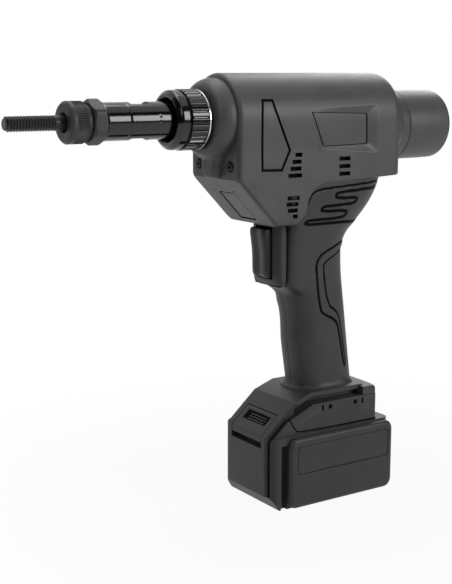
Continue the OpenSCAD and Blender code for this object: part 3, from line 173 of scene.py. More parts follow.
def line_distance(x, z, line, closed=False):
    """Least distance from each place to a line of points: the place is dropped on each segment, and the
    foot is held between the segment's ends."""
    best = 1e9
    for (ax, az), (bx, bz) in zip(line, np.roll(line, -1, 0) if closed else line[1:]):
        dx, dz = bx - ax, bz - az
        t = np.clip(((x - ax) * dx + (z - az) * dz) / (dx * dx + dz * dz), 0, 1)
        best = np.minimum(best, np.hypot(x - ax - t * dx, z - az - t * dz))
    return best


def outline_distance(x, z, outline):
    """Signed distance to a closed outline, below zero inside: the least distance to its sides, with the
    sign from how many sides a ray along X crosses."""
    inside = False
    for (ax, az), (bx, bz) in zip(outline, np.roll(outline, -1, 0)):
        inside = inside ^ (((az > z) != (bz > z)) & (x < ax + (z - az) * (bx - ax) / (bz - az + 1e-12)))
    return np.where(inside, -1, 1) * line_distance(x, z, outline, True)


def eased(line, closed=False, rounds=2):
    """Line with its corners cut in rounds: each side keeps its middle half, and the ends of an open line
    stay."""
    for _ in range(rounds):
        a, b = line, np.roll(line, -1, 0)
        if not closed:
            a, b = a[:-1], b[:-1]
        mixed = np.stack((0.75 * a + 0.25 * b, 0.25 * a + 0.75 * b), 1).reshape(-1, 2)
        line = mixed if closed else np.vstack((line[:1], mixed[1:-1], line[-1:]))
    return line


def rounded(corners, steps=6):
    """Line through (x, r, radius) corners: each corner gives way to a quadratic curve that leaves one side
    and meets the next at the radius's tangent length, at most half of a side."""
    corners = np.array(corners, float)
    out = [corners[:1, :2]]
    s = np.linspace(0, 1, steps)[:, None]
    for before, (x, r, radius), after in zip(corners[:-2], corners[1:-1], corners[2:]):
        c = np.array((x, r))
        a, b = before[:2] - c, after[:2] - c
        la, lb = np.hypot(*a), np.hypot(*b)
        half = math.acos(np.clip(a @ b / (la * lb), -1, 1)) / 2
        t = min(radius / math.tan(max(half, 1e-3)), 0.49 * la, 0.49 * lb)
        out.append((1 - s) ** 2 * (c + a / la * t) + 2 * s * (1 - s) * c + s ** 2 * (c + b / lb * t)
                   if radius else c[None])
    return np.vstack(out + [corners[-1:, :2]])


def dense(line, step):
    """The same line with points no further apart than a step, by linear interpolation along its length."""
    along = np.concatenate(([0], np.cumsum(np.hypot(*np.diff(line, axis=0).T))))
    marks = np.concatenate([np.linspace(a, b, max(1, int(math.ceil((b - a) / step))), endpoint=False)
                            for a, b in zip(along[:-1], along[1:])] + [along[-1:]])
    return np.stack([np.interp(marks, along, line[:, k]) for k in (0, 1)], -1)


def turned(line, z, turns, radius=None):
    """Grid of a line of (x, r) turned about an axis along X at a height. radius(x, angle, r) may change
    r."""
    a = np.linspace(0, 2 * np.pi, turns, endpoint=False)
    x, r = line[:, :1], line[:, 1:2]
    if radius:
        r = radius(x, a[None], r)
    return points(x, r * np.cos(a), z + r * np.sin(a))


def track(t, knots, values):
    """Smooth curve through values at knots: cubic Hermite pieces whose slopes are those of the chords about
    each knot."""
    slope = np.gradient(values, knots)
    k = np.clip(np.searchsorted(knots, t, side="right") - 1, 0, len(knots) - 2)
    h = knots[k + 1] - knots[k]
    s = np.clip((t - knots[k]) / h, 0, 1)
    return ((2 * s ** 3 - 3 * s ** 2 + 1) * values[k] + (s ** 3 - 2 * s ** 2 + s) * h * slope[k]
            + (3 * s ** 2 - 2 * s ** 3) * values[k + 1] + (s ** 3 - s ** 2) * h * slope[k + 1])


def round_box(half_x, half_z, radius, side, corner):
    """Closed outline of a rectangle about zero with round corners: four quarter circles joined by straight
    sides, with a fixed number of points on each so that outlines of any inset match."""
    a = np.pi / 2 * (np.arange(4)[:, None] + np.linspace(0, 1, corner))
    sign = np.array([(1, 1), (-1, 1), (-1, -1), (1, -1)])[:, None]
    bends = sign * (half_x - radius, half_z - radius) + radius * np.stack((np.cos(a), np.sin(a)), -1)
    t = np.linspace(0, 1, side + 2)[1:-1, None]
    runs = bends[:, -1:] * (1 - t) + np.roll(bends[:, :1], -1, 0) * t
    return np.concatenate((bends, runs), 1).reshape(-1, 2)


def stepped(origin, u, v, out, half, radius, steps, counts, sharpest):
    """Rows of a round-cornered box whose outline lies along u and v: each step is an inset and a lift along
    out. The corners' radius shrinks with the inset to the sharpest one, and counts are the points on a side
    and in a corner."""
    rows = []
    for inset, lift in steps:
        flat = round_box(max(half[0] - inset, 0.01), max(half[1] - inset, 0.01),
                         max(radius - inset, sharpest), *counts)
        rows.append(origin + flat[:, :1] * u + flat[:, 1:] * v + lift * out)
    return np.array(rows)


def inset_outline(outline, inset, step=0.8):
    """Corners of a closed outline moved inwards along their mitres, with fixed numbers of points on each
    side."""
    after = np.roll(outline, -1, 0)
    area = np.sum(outline[:, 0] * after[:, 1] - after[:, 0] * outline[:, 1])
    side = after - outline
    length = np.hypot(side[:, 0], side[:, 1])
    normal = np.stack((-side[:, 1], side[:, 0]), -1) / length[:, None] * np.sign(area)
    before = np.roll(normal, 1, 0)
    moved = outline + (normal + before) / (1 + np.sum(normal * before, 1))[:, None] * inset
    out = []
    for a, b, run in zip(moved, np.roll(moved, -1, 0), length):
        t = np.linspace(0, 1, max(2, int(run / step)), endpoint=False)[:, None]
        out.append(a * (1 - t) + b * t)
    return np.vstack(out)


def ribbon(path, width, rows, skin, side):
    """Strip along a path of (x, z) on one side of the tool: each row is a share of the width off the path
    along its normals, and a depth under the half width skin(x, z)."""
    step = np.gradient(path, axis=0)
    normal = np.stack((-step[:, 1], step[:, 0]), -1) / np.hypot(step[:, 0], step[:, 1])[:, None]
    grid = []
    for off, sink in rows:
        x, z = (path + normal * off * width).T
        grid.append(points(x, side * (skin(x, z) - sink), z))
    return np.stack(grid, 1)


# Meshes and pieces

def tidied(mesh, flat):
    """Merges a mesh's doubles and shades it smooth. The flat faces of a CAD copy are joined; any other mesh
    loses its empty faces and has its faces turned outwards."""
    shell = bmesh.new()
    shell.from_mesh(mesh)
    bmesh.ops.remove_doubles(shell, verts=shell.verts, dist=2e-6)
    if flat:
        bmesh.ops.dissolve_limit(shell, angle_limit=math.radians(1), verts=shell.verts, edges=shell.edges)
    else:
        bmesh.ops.dissolve_degenerate(shell, edges=shell.edges, dist=1e-7)
        bmesh.ops.recalc_face_normals(shell, faces=shell.faces)
    shell.to_mesh(mesh)
    shell.free()
    mesh.polygons.foreach_set("use_smooth", np.ones(len(mesh.polygons), bool))


def surface(name, grid, wrap=True, ring=False, caps="", recess=None, sharp=38):
    """Mesh of a grid of points in millimetres. Four neighbours make a face, wrap joins the last column to
    the first, ring the last row to the first, and caps closes the first (a) or last (b) row. A level from 0
    to 1 at each point gives its painted shade, which darkens grooves, holes and slots. Edges over the sharp
    angle stay sharp."""
    rows, columns = grid.shape[:2]
    index = np.arange(rows * columns).reshape(rows, columns)
    full = np.hstack((index, index[:, :1])) if wrap else index
    full = np.vstack((full, full[:1])) if ring else full
    faces = np.stack((full[:-1, :-1], full[:-1, 1:], full[1:, 1:], full[1:, :-1]), -1).reshape(-1, 4).tolist()
    faces += [index[row].tolist() for cap, row in (("a", 0), ("b", -1)) if cap in caps]
    mesh = bpy.data.meshes.new(name)
    mesh.from_pydata((grid.reshape(-1, 3) * MM).tolist(), [], faces)
    # Painted shade: each point's level is kept as a point attribute that the finish darkens by
    if recess is not None:
        level = np.broadcast_to(recess, grid.shape[:2]).astype(np.float32).ravel()
        mesh.attributes.new("recess", "FLOAT", "POINT").data.foreach_set("value", level)
    tidied(mesh, False)
    mesh.set_sharp_from_angle(angle=math.radians(sharp))
    return mesh


def placed(mesh, body, slot, *nodes):
    """Object of a mesh that rides on a body, has a slot's finish, and may stand for CAD nodes."""
    obj = bpy.data.objects.new(mesh.name, mesh)
    bpy.context.scene.collection.objects.link(obj)
    mesh.materials.append(finish(slot))
    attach(obj, body)
    if nodes:
        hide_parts(*nodes)
    return obj


def piece(name, grid, body, slot, *nodes, **settings):
    """Piece made of a grid of points; the settings are those of its surface."""
    placed(surface(name, grid, **settings), body, slot, *nodes)


def softened(name, node, body, slot, width):
    """Copy of a CAD node whose loose triangles are merged, whose flat faces are joined, and whose sharp
    edges a bevel rounds."""
    source = frame["nodes"][node].data
    place = np.empty(len(source.vertices) * 3)
    source.vertices.foreach_get("co", place)
    mesh = bpy.data.meshes.new(name)
    mesh.from_pydata(place.reshape(-1, 3).tolist(), [], [list(p.vertices) for p in source.polygons])
    tidied(mesh, True)
    bevel = placed(mesh, body, slot, node).modifiers.new("soft edges", "BEVEL")
    bevel.width, bevel.segments = width * MM, 3
    bevel.limit_method, bevel.angle_limit = "ANGLE", math.radians(30)
    bevel.harden_normals = True


# Finishes

def grey(value):
    """Linear colour of an even grey, a little cool."""
    return (value, value, value * 1.03)


# Slot: colour, roughness, metal share, grain size in mm, grain strength, mottle, mirror level
FINISHES = {
    "body_plastic": (grey(0.072), 0.44, 0, 0.45, 0.30, 0.10, 0.35),
    "inlay_plastic": (grey(0.072), 0.42, 0, 0.45, 0.25, 0.10, 0.35),
    "handle_plastic": (grey(0.044), 0.46, 0, 0.40, 0.35, 0.12, 0.30),
    "grip_rubber": (grey(0.020), 0.56, 0, 0.35, 0.40, 0.12, 0.30),
    "trigger_plastic": (grey(0.010), 0.40, 0, 0.50, 0.20, 0.10, 0.35),
    "battery_plastic": (grey(0.036), 0.45, 0, 0.45, 0.30, 0.12, 0.30),
    "black_steel": (grey(0.030), 0.42, 0.6, 0.30, 0.20, 0.25, 0.5),
    "phosphated_steel": (grey(0.045), 0.50, 0.5, 0.55, 0.45, 0.45, 0.4),
    "mandrel_steel": (grey(0.030), 0.36, 0.6, 0.40, 0.25, 0.30, 0.5),
    "gloss_black_metal": (grey(0.004), 0.13, 0, 0.60, 0.03, 0.15, 0.5),
    "bright_steel": (grey(0.60), 0.26, 1, 0.50, 0.08, 0.12, 0.5),
    "alloy": (grey(0.48), 0.38, 1, 0.60, 0.15, 0.15, 0.5),
    "bronze": ((0.42, 0.25, 0.09), 0.38, 1, 0.60, 0.12, 0.20, 0.5),
    "winding_copper": ((0.50, 0.18, 0.07), 0.34, 1, 0.50, 0.20, 0.25, 0.5),
    "magnet": (grey(0.09), 0.55, 0.4, 0.50, 0.25, 0.25, 0.5),
    "inner_plastic": (grey(0.030), 0.55, 0, 0.45, 0.25, 0.12, 0.4),
    "circuit_board": ((0.02, 0.09, 0.035), 0.40, 0, 0.80, 0.10, 0.25, 0.5),
    "cell_steel": ((0.10, 0.20, 0.30), 0.33, 0.2, 0.60, 0.06, 0.15, 0.5),
}


def link(tree, kind, inputs=None, **settings):
    """Adds a shader node, sets its properties, and fills its sockets with values or with other sockets."""
    node = tree.nodes.new("ShaderNode" + kind)
    for key, value in settings.items():
        setattr(node, key, value)
    for key, value in (inputs or {}).items():
        if isinstance(value, bpy.types.NodeSocket):
            tree.links.new(value, node.inputs[key])
        else:
            node.inputs[key].default_value = value
    return node


def spread(tree, value, a, b, least_out, most_out, **settings):
    """Socket that carries the range a to b of a value over to another range."""
    ends = {"From Min": a, "From Max": b, "To Min": least_out, "To Max": most_out}
    return link(tree, "MapRange", {"Value": value, **ends}, **settings).outputs[0]


def fresh_tree(owner):
    """Empty node tree of a material or world."""
    owner.use_nodes = True
    owner.node_tree.nodes.clear()
    return owner.node_tree


def finish(slot):
    """Material of a slot: fine grain as bump, broad mottle in colour and roughness, lighter edges where the
    surface is convex, and painted shade, a near-black colour with less reflection, where the point
    attribute of shade is high."""
    name = slot + "_finish"
    if name in bpy.data.materials:
        return bpy.data.materials[name]
    colour, rough, metal, grain, strength, mottle, mirror = FINISHES[slot]
    own = bpy.context.scene.rivet_finishes
    colour = tuple({"body_plastic": own.body_colour, "handle_plastic": own.handle_colour,
                    "battery_plastic": own.battery_colour}.get(slot, colour))
    material = bpy.data.materials.new(name)
    tree = fresh_tree(material)
    place = link(tree, "TexCoord").outputs["Object"]
    close = 1 / (grain * own.grain_share * MM)
    fine = link(tree, "TexNoise", {"Vector": place, "Scale": close, "Detail": 2.0}).outputs["Fac"]
    broad = link(tree, "TexNoise", {"Vector": place, "Scale": 55.0, "Detail": 4.0}).outputs["Fac"]
    tones = link(tree, "Math", {0: spread(tree, broad, 0.3, 0.7, 1 - mottle, 1 + mottle),
                                1: spread(tree, fine, 0.35, 0.75, 1 - 0.6 * mottle, 1 + mottle)},
                 operation="MULTIPLY")
    base = link(tree, "VectorMath", {0: colour, "Scale": tones.outputs[0]}, operation="SCALE")
    # Colour lifted towards lighter on convex edges, from the pointiness
    convex = link(tree, "NewGeometry").outputs["Pointiness"]
    lighter_convex = link(tree, "Mix", {"Factor": spread(tree, convex, 0.53, 0.66, 0.0, 0.35), "A": base.outputs[0],
                              "B": tuple(min(1, c * 1.9 + 0.012) for c in colour)}, data_type="VECTOR")
    # Painted shade: the point level blends the colour towards near black, standing in for the shade in
    # grooves, holes and slots
    deep = link(tree, "Attribute", attribute_name="recess").outputs["Fac"]
    shade = link(tree, "Mix", {"Factor": deep, "A": lighter_convex.outputs[1],
                               "B": tuple(c * 0.08 for c in colour)}, data_type="VECTOR")
    bump = link(tree, "Bump", {"Height": fine, "Strength": strength, "Distance": 0.12 * grain * MM})
    # The specular level falls with the painted shade level: a painted loss of reflection in the shaded
    # hollows
    shader = link(tree, "BsdfPrincipled", {
        "Base Color": shade.outputs[1], "Normal": bump.outputs[0], "Metallic": metal,
        "Roughness": spread(tree, broad, 0.3, 0.7, rough * (1 - mottle / 2), rough * (1 + mottle / 2)),
        "Specular IOR Level": spread(tree, deep, 0, 1, mirror, 0.03)})
    link(tree, "OutputMaterial", {"Surface": shader.outputs[0]})
    return material


# Properties

class RivetSizes(bpy.types.PropertyGroup):
    """Sizes of the details that the solids leave out."""
    seam_width: FloatProperty(name="Seam width", description="Width of the grooves round the inlays",
                              default=1.8 * MM, min=0.0005, max=0.0025, unit="LENGTH")
    seam_depth: FloatProperty(name="Seam depth", description="Depth of the grooves round the inlays",
                              default=1.3 * MM, min=0.0003, max=0.002, unit="LENGTH")
    groove_width: FloatProperty(name="Groove width", description="Width of the snaking grooves of the handle",
                                default=2.0 * MM, min=0.001, max=0.004, unit="LENGTH")
    groove_depth: FloatProperty(name="Groove depth", description="Depth of the snaking grooves of the handle",
                                default=1.6 * MM, min=0.0005, max=0.003, unit="LENGTH")
    vent_depth: FloatProperty(name="Vent depth", description="Depth of the ventilation slots",
                              default=3.5 * MM, min=0.001, max=0.005, unit="LENGTH")
    nameplate_depth: FloatProperty(name="Nameplate depth",
                                   description="Depth of the nameplate at its rear end",
                                   default=2.0 * MM, min=0.0005, max=0.003, unit="LENGTH")
    thread_pitch: FloatProperty(name="Thread pitch", description="Pitch of the mandrel thread",
                                default=2.0 * MM, min=0.001, max=0.0025, unit="LENGTH")
    flutes: IntProperty(name="Flutes", description="Number of grooves round the locking ring",
                        default=30, min=16, max=48)
    knurls: IntProperty(name="Knurls", description="Number of straight knurls round the anvil",
                        default=54, min=30, max=90)


class RivetFinishes(bpy.types.PropertyGroup):
    """Colours of the main plastics and the size of their grain."""
    body_colour: FloatVectorProperty(name="Body", description="Colour of the body plastic", subtype="COLOR",
                                     size=3, min=0, max=1, default=FINISHES["body_plastic"][0])
    handle_colour: FloatVectorProperty(name="Handle", description="Colour of the handle plastic",
                                       subtype="COLOR", size=3, min=0, max=1,
                                       default=FINISHES["handle_plastic"][0])
    battery_colour: FloatVectorProperty(name="Battery", description="Colour of the battery plastic",
                                        subtype="COLOR", size=3, min=0, max=1,
                                        default=FINISHES["battery_plastic"][0])
    grain_share: FloatProperty(name="Grain",
                               description="Size of every finish's grain, as a share of its own",
                               default=1.0, min=0.3, max=3.0, subtype="FACTOR")


def size(key):
    """One of the scene's detail sizes, in millimetres."""
    return getattr(bpy.context.scene.rivet_sizes, key) / MM


def count(key):
    """One of the scene's numbers of details."""
    return getattr(bpy.context.scene.rivet_sizes, key)


# Body

def side_y(z):
    """Half width of the body at a height: the barrel's circle above the axis, and below it a flank that
    eases in by half a millimetre."""
    over = np.sqrt(np.maximum(BARREL_R ** 2 - np.maximum(z - NOSE_Z, 0) ** 2, 0))
    return np.where(z >= NOSE_Z, over, FLANK_Y + 0.5 * ease(NOSE_Z - 24, NOSE_Z, z))


def belly_line():
    """Stations along the body's underside as (x, z): the sloping chin, the belly, the soft rise behind it
    and the web."""
    return rounded([(FRONT_X, CHIN_Z, 0), (CHIN_X, BELLY_Z, 2.5), (STEP_X - 14, BELLY_Z, 6),
                    (STEP_X - 6, BELLY_Z + 7, 5), (STEP_X - 3.8, BELLY_Z + 17, 5),
                    (STEP_X + 0.5, BELLY_Z + 24, 4), (STEP_X + 9, WEB_Z, 6), (REAR_X, WEB_Z + 3, 0)], 9)


def belly_z(x):
    """Height of the body's underside at a place along X."""
    line = belly_line()
    return np.interp(x, line[:, 0], line[:, 1])


def body_stations():
    """Places (x, z) along the underside for the body's rows: every 1.6 mm, close pairs at the ends of the
    vents' beds, and close rows where the ends are rounded."""
    beds = np.concatenate([VENT_BEDS[:, :2].ravel()] + [g[:, 0] - BED_RIM for g in VENT_GROUPS.values()])
    marks = np.unique(np.concatenate((beds - LIP, beds + LIP)).round(2))
    line = dense(belly_line(), 1.6)
    line = line[np.all(np.abs(line[:, :1] - marks) > 0.3, axis=1)
                & (line[:, 0] > FRONT_X + EDGE_R + 0.2) & (line[:, 0] < REAR_X - REAR_R - 0.2)]
    rear = REAR_X - REAR_R * (1 - np.sin(np.linspace(0, np.pi / 2, 9)))
    front = FRONT_X + EDGE_R * (1 - np.cos(np.linspace(0, np.pi / 2, 7)))
    extra = np.concatenate((marks, rear, front))
    out = np.vstack((line, np.stack((extra, belly_z(extra)), -1)))
    return out[np.argsort(out[:, 0])]


def body_columns():
    """Heights of the flank's columns as (fixed upper heights, shares of the lower flank): close pairs at
    the edges of the vents' beds, and about 2.4 mm elsewhere."""
    top = CHIN_Z + 4.2
    edges = (VENT_BEDS[:, 2:].reshape(-1, 1) + (-LIP, LIP)).ravel()
    fill = np.arange(NOSE_Z, top, -2.4)
    fill = fill[np.all(np.abs(fill[:, None] - edges) > 0.5, axis=1)]
    upper = np.unique(np.concatenate((fill, edges[edges > top + 0.2], [NOSE_Z, top])))[::-1]
    share = np.concatenate(((top - edges) / (top - BELLY_Z - 5), np.linspace(0, 1, 13)))
    return upper, np.unique(share[(share > 0.004) & (share <= 1)])


def lower_corner(x):
    """Radius of the body's lower edge along X: small on the chin, larger under the belly, small again
    behind."""
    return 3.2 + 1.8 * ease(CHIN_X - 4, CHIN_X + 2, x) - 3.4 * ease(STEP_X - 20, STEP_X - 4, x)


def skin_y(x, z):
    """Half width of the body's skin at a place on its side: the flank, less the quarter circle of the lower
    edge."""
    corner = lower_corner(x)
    return side_y(z) - corner * (1 - arc((z - belly_z(x)) / corner))


def vent_edge(slots, z):
    """Front end of a vent at a height, on straight lines between its slots' front ends."""
    order = np.argsort(slots[:, 2])
    return np.interp(z, slots[order, 2], slots[order, 0])


def vent_patch(name, slots, side):
    """Patch of the body's side with the slots of one vent. Grid lines lie at each slot's edges; how far a
    point is inside a slot gives its depth, with steep walls darkened by painted shade, and a back closes the
    patch."""
    deep = size("vent_depth")
    lip = LIP * np.array((-1, -0.5, 0, 0.5, 1))
    lines = []
    heights = np.concatenate((slots[:, 2] - SLOT_H, slots[:, 2] + SLOT_H))
    for edges, low_rim, high_rim in ((slots[:, :2].ravel(), (PATCH_RIM, 2.4, 1.2), (1.2, 2.4)),
                                     (heights, (2.6, 1.2), (1.2, 2.4, PATCH_RIM))):
        inner = np.concatenate(((edges[:, None] + lip).ravel(), np.arange(edges.min(), edges.max(), 1.3)))
        rims = np.concatenate((edges.min() - low_rim, edges.max() + high_rim))
        lines.append(np.unique(np.concatenate((inner, rims)).round(3)))
    x, z = np.meshgrid(*lines)
    x = np.maximum(x, vent_edge(slots, z) - PATCH_RIM)
    inside = np.max([np.minimum(np.minimum(x - a, b - x), SLOT_H - np.abs(z - row))
                     for a, b, row in slots], 0)
    skin = skin_y(x, z)
    fall = np.interp(inside, (-PATCH_RIM, -3, 0, LIP / 2, LIP),
                     (-0.1, PROUD, PROUD, PROUD - 0.3, PROUD - deep))
    front, back = points(x, side * (skin + fall), z), points(x, side * (skin - deep - 0.8), z)
    # Painted shade inside the slots, full from just past the lip
    dark = np.clip(2 * inside / LIP, 0, 1)
    piece(name, np.hstack((front, back[:, ::-1])), "body", "body_plastic", caps="ab",
          recess=np.hstack((dark, 0 * dark)), sharp=50)


def body_grid():
    """Closed skin of the body and its painted shade levels: each station's section runs from the top over
    the barrel's arc, down the flank, round the lower edge and along the underside, on both sides. Ends draw
    in by their edge's quarter circle. Beds for the vents and inlays and, on the right, screw holes are
    pressed in; the screw holes carry painted shade."""
    stations = body_stations()
    x, floor = stations[:, :1], stations[:, 1:]
    draw = REAR_R * (1 - arc((REAR_X - x) / REAR_R)) + EDGE_R * (1 - arc((x - FRONT_X) / EDGE_R))
    corner = lower_corner(x)
    top = np.radians(np.concatenate(([0, 0.4, 0.9, 1.8], np.linspace(4, 87.5, 30))))
    arc_y = (BARREL_R - draw) * np.sin(top)
    arc_z = NOSE_Z + (BARREL_R - draw) * np.cos(top) - 0.25 * fade(0.15, 0.6, arc_y) * (draw < 1)
    upper, share = body_columns()
    flank_z = np.hstack((np.repeat(upper[None], len(x), 0), upper[-1] - share * (upper[-1] - floor - corner)))
    bend = np.linspace(0, np.pi / 2, 8)[1:]
    base_y = (FLANK_Y - draw - corner) * np.linspace(1, 0, 14)[1:]
    y = np.hstack((arc_y, side_y(flank_z) - draw, FLANK_Y - draw - corner * (1 - np.cos(bend)), base_y))
    z = np.hstack((arc_z, flank_z, floor + corner * (1 - np.sin(bend)),
                   floor + 0.25 * fade(0.2, 0.9, base_y)))
    vents = np.max([(x > np.maximum(a, vent_edge(slots, z) - 0.2)) & (x < b) & (z > c) & (z < d)
                    for (a, b, c, d), slots in zip(VENT_BEDS, VENT_GROUPS.values())], 0) * (y > 24)
    bed = np.max([fade(0.3, 1.0, outline_distance(x, z, q)) for q in (PANEL, NAME_BANK)], 0) * (y > 18)
    run, rise = CHIN_X - FRONT_X, CHIN_Z - BELLY_Z
    along = (x - FRONT_X) / run
    slot = 2.2 / math.hypot(run, rise) * fade(10.9, 11.4, y) * ease(0.252, 0.278, along) \
        * fade(0.922, 0.948, along) * (z < CHIN_Z) * (np.abs(z - floor) < 0.6)
    holes = np.max([fade(3.2, 3.7, np.hypot(x - a, z - b)) for a, b in BODY_SCREWS], 0)
    bed_depth, vent_back = 3.2, 1.2
    wall = y - (size("vent_depth") + vent_back) * vents - bed_depth * bed
    left = points(x + rise * slot, -wall, z + run * slot)
    right = points(x + rise * slot, wall - np.maximum(y - SCREW_FLOOR, 0) * holes, z + run * slot)
    grid = np.hstack((left, right[:, -2:0:-1]))
    # Painted shade in the screw holes of the right side; the vents' beds carry none
    return grid, np.hstack((0 * vents, (holes * (y > 19))[:, -2:0:-1]))


def front_screw(name, side):
    """Screw in its raised seat on the body's face: a turned line with a rim, a trough, a head and a socket;
    the trough and the socket's floor carry painted shade."""
    seat_y, seat_drop, turns = 20, 32, 40
    line = np.array([(0.6, 4.4), (-0.2, 4.3), (-0.45, 4.0), (-0.5, 3.6), (-0.04, 3.4), (-0.04, 2.7),
                     (-0.7, 2.6), (-0.95, 2.2), (-0.95, 1.4), (-0.3, 1.3), (-0.3, 0)]) + (FRONT_X, 0)
    # Painted shade in the trough and the socket
    dark = np.array([0, 0, 0, 0, 1, 1, 0, 0, 0, 1, 1])[:, None]
    piece(name, turned(line, NOSE_Z - seat_drop, turns) + (0, side * seat_y, 0), "body", "inner_plastic",
          caps="a", recess=dark)


def inlay(name, side, flat, deep, dark, sharp, node):
    """Inlay on the body's side: rows of an outline in the side view, each under the flank by its depth. The
    first row is the back that closes it."""
    x, z = np.moveaxis(np.array(flat), -1, 0)
    # The dark levels are painted shade, passed on to the piece
    piece(name, points(x, side * (side_y(z) - deep), z), "body", "inlay_plastic", node, caps="a", recess=dark,
          sharp=sharp)


def side_inlay(side, word):
    """Side panel: rings of its outline at growing insets, the last shrunk to its middle. A rim lies on the
    body, a groove runs inside the outline, and the panel stands a touch proud."""
    insets = (-3, -3, -1.5, 0, 0.1, 0.25, 0.9, 1.6, 1.75, 2.0, 2.8)
    rings = [inset_outline(PANEL, i) for i in insets]
    middle = rings[-1].mean(0)
    shrink = (0.94, 0.85, 0.72, 0.55, 0.35, 0.15, 0)
    rings += [middle + (rings[-1] - middle) * s for s in shrink]
    inset = np.array(insets + (99,) * len(shrink))[:, None]
    width, depth = size("seam_width"), size("seam_depth")
    deep = depth * ease(0, 0.12, inset) * fade(width - 0.1, width + 0.1, inset) - PROUD * (inset <= 0) \
        + 0.15 * (inset < -2) - 0.1 * ease(width, width + 0.8, inset)
    # Painted shade in the groove round the panel
    dark = np.clip((deep - 0.05) / 0.3, 0, 1) * (inset < 2)
    deep[0] = 3
    inlay("side_inlay_" + word, side, rings, deep, dark, 50, "side_panel_" + word)


def evened(outline, places):
    """Closed outline with a given number of points, by linear interpolation over the numbers of its own."""
    marks, own = np.linspace(0, len(outline), places, endpoint=False), np.arange(len(outline) + 1)
    return np.stack([np.interp(marks, own, np.append(outline[:, k], outline[0, k])) for k in (0, 1)], -1)


def nameplate(side, word):
    """Nameplate bed: rings run from the outer bank to the plate's outline, falling evenly to a depth that
    grows from zero at the front to full at the rear, then through a thin groove to the flat, bare plate."""
    outlines = [inset_outline(q, i, 1.0) for q, i in ((NAME_BANK, -3), (NAME_BANK, 0), (NAMEPLATE, 0))]
    places = min(len(q) for q in outlines)
    flange, bank, plate = (evened(q, places) for q in outlines)
    middle = plate.mean(0)
    rows = [(flange, 0, 3), (flange, 0, 0.12), ((flange + bank) / 2, 0, -PROUD)]
    rows += [(bank + (plate - bank) * t, t, 0) for t in (0, 0.06, 0.2, 0.4, 0.6, 0.8, 0.94, 1)]
    rows += [(middle + (plate - middle) * t, 1, d) for t, d in (
        (0.997, 0.1), (0.99, 0.75), (0.965, 0.75), (0.955, 0.02), (0.93, 0), (0.8, 0), (0.55, 0), (0.3, 0),
        (0, 0))]
    full = size("nameplate_depth")
    deep = np.array([full * np.clip((q[:, 0] + 29) / 50, 0, 1) * share + d for q, share, d in rows])
    # Painted shade in the thin groove round the plate
    dark = np.array([0] * 11 + [0.7, 1, 1, 0.3] + [0] * 5)[:, None]
    inlay("nameplate_bed_" + word, side, [q for q, _, _ in rows], deep, dark, 45, "nameplate_" + word)


class RIVET_OT_body(bpy.types.Operator):
    """Body skin with vents, front screws and the rear neck"""
    bl_idname = "rivet.body"
    bl_label = "Body"

    def execute(self, context):
        grid, dark = body_grid()
        face = np.repeat(grid[:1], 13, 0)
        face[..., 1] *= np.linspace(0, 1, 14)[:-1, None]
        whole = np.concatenate((face, grid, grid[-1:] * (1, 0, 1)))
        recess = np.concatenate((0 * face[..., 0], dark, dark[-1:] * 0))
        piece("body_shell", whole, "body", "body_plastic", "housing_left", "housing_right", recess=recess,
              sharp=40)
        for side, word in SIDES:
            front_screw("front_screw_" + word, side)
            for group, slots in VENT_GROUPS.items():
                vent_patch("%s_vent_%s" % (group, word), slots, side)
        neck = rounded([(REAR_X - 3, 20, 0), (REAR_X - 2.5, 29.4, 1), (REAR_X + 0.8, 28.6, 3),
                        (REAR_X + 3.2, 26.6, 3), (SEAM_X - 0.2, 26.3, 0.5), (SEAM_X - 0.2, 22, 0)])
        piece("rear_neck", turned(neck, DRUM_Z, 120), "body", "body_plastic", caps="ab")
        return {"FINISHED"}


class RIVET_OT_inlays(bpy.types.Operator):
    """Side panels, nameplates and the bare slot on the sloping front"""
    bl_idname = "rivet.inlays"
    bl_label = "Inlays"

    def execute(self, context):
        for side, word in SIDES:
            side_inlay(side, word)
            nameplate(side, word)
        run, rise = CHIN_X - FRONT_X, CHIN_Z - BELLY_Z
        down, out = np.array(((run, 0, -rise), (-rise, 0, -run))) / math.hypot(run, rise)
        middle = np.array((FRONT_X + run * 0.6, 0, CHIN_Z - rise * 0.6))
        # Steps: inset, lift and level of painted shade, which darkens the groove round the slot
        steps = np.array([(-2.9, -2, 0), (-2.9, -0.1, 0), (-1.5, 0.04, 0), (-0.2, 0.04, 0), (0, 0, 1),
                          (0.1, -1, 1), (1.1, -1, 1), (1.2, -0.3, 0.2), (1.5, -0.25, 0), (3, -0.25, 0),
                          (9, -0.25, 0)])
        rows = stepped(middle, down, np.array((0, 1, 0)), out, (14.2, 10), 1.6, steps[:, :2], (16, 6), 0.01)
        piece("slope_slot", rows, "body", "inlay_plastic", "diagonal_plate", caps="ab", recess=steps[:, 2:],
              sharp=50)
        return {"FINISHED"}


# Nose

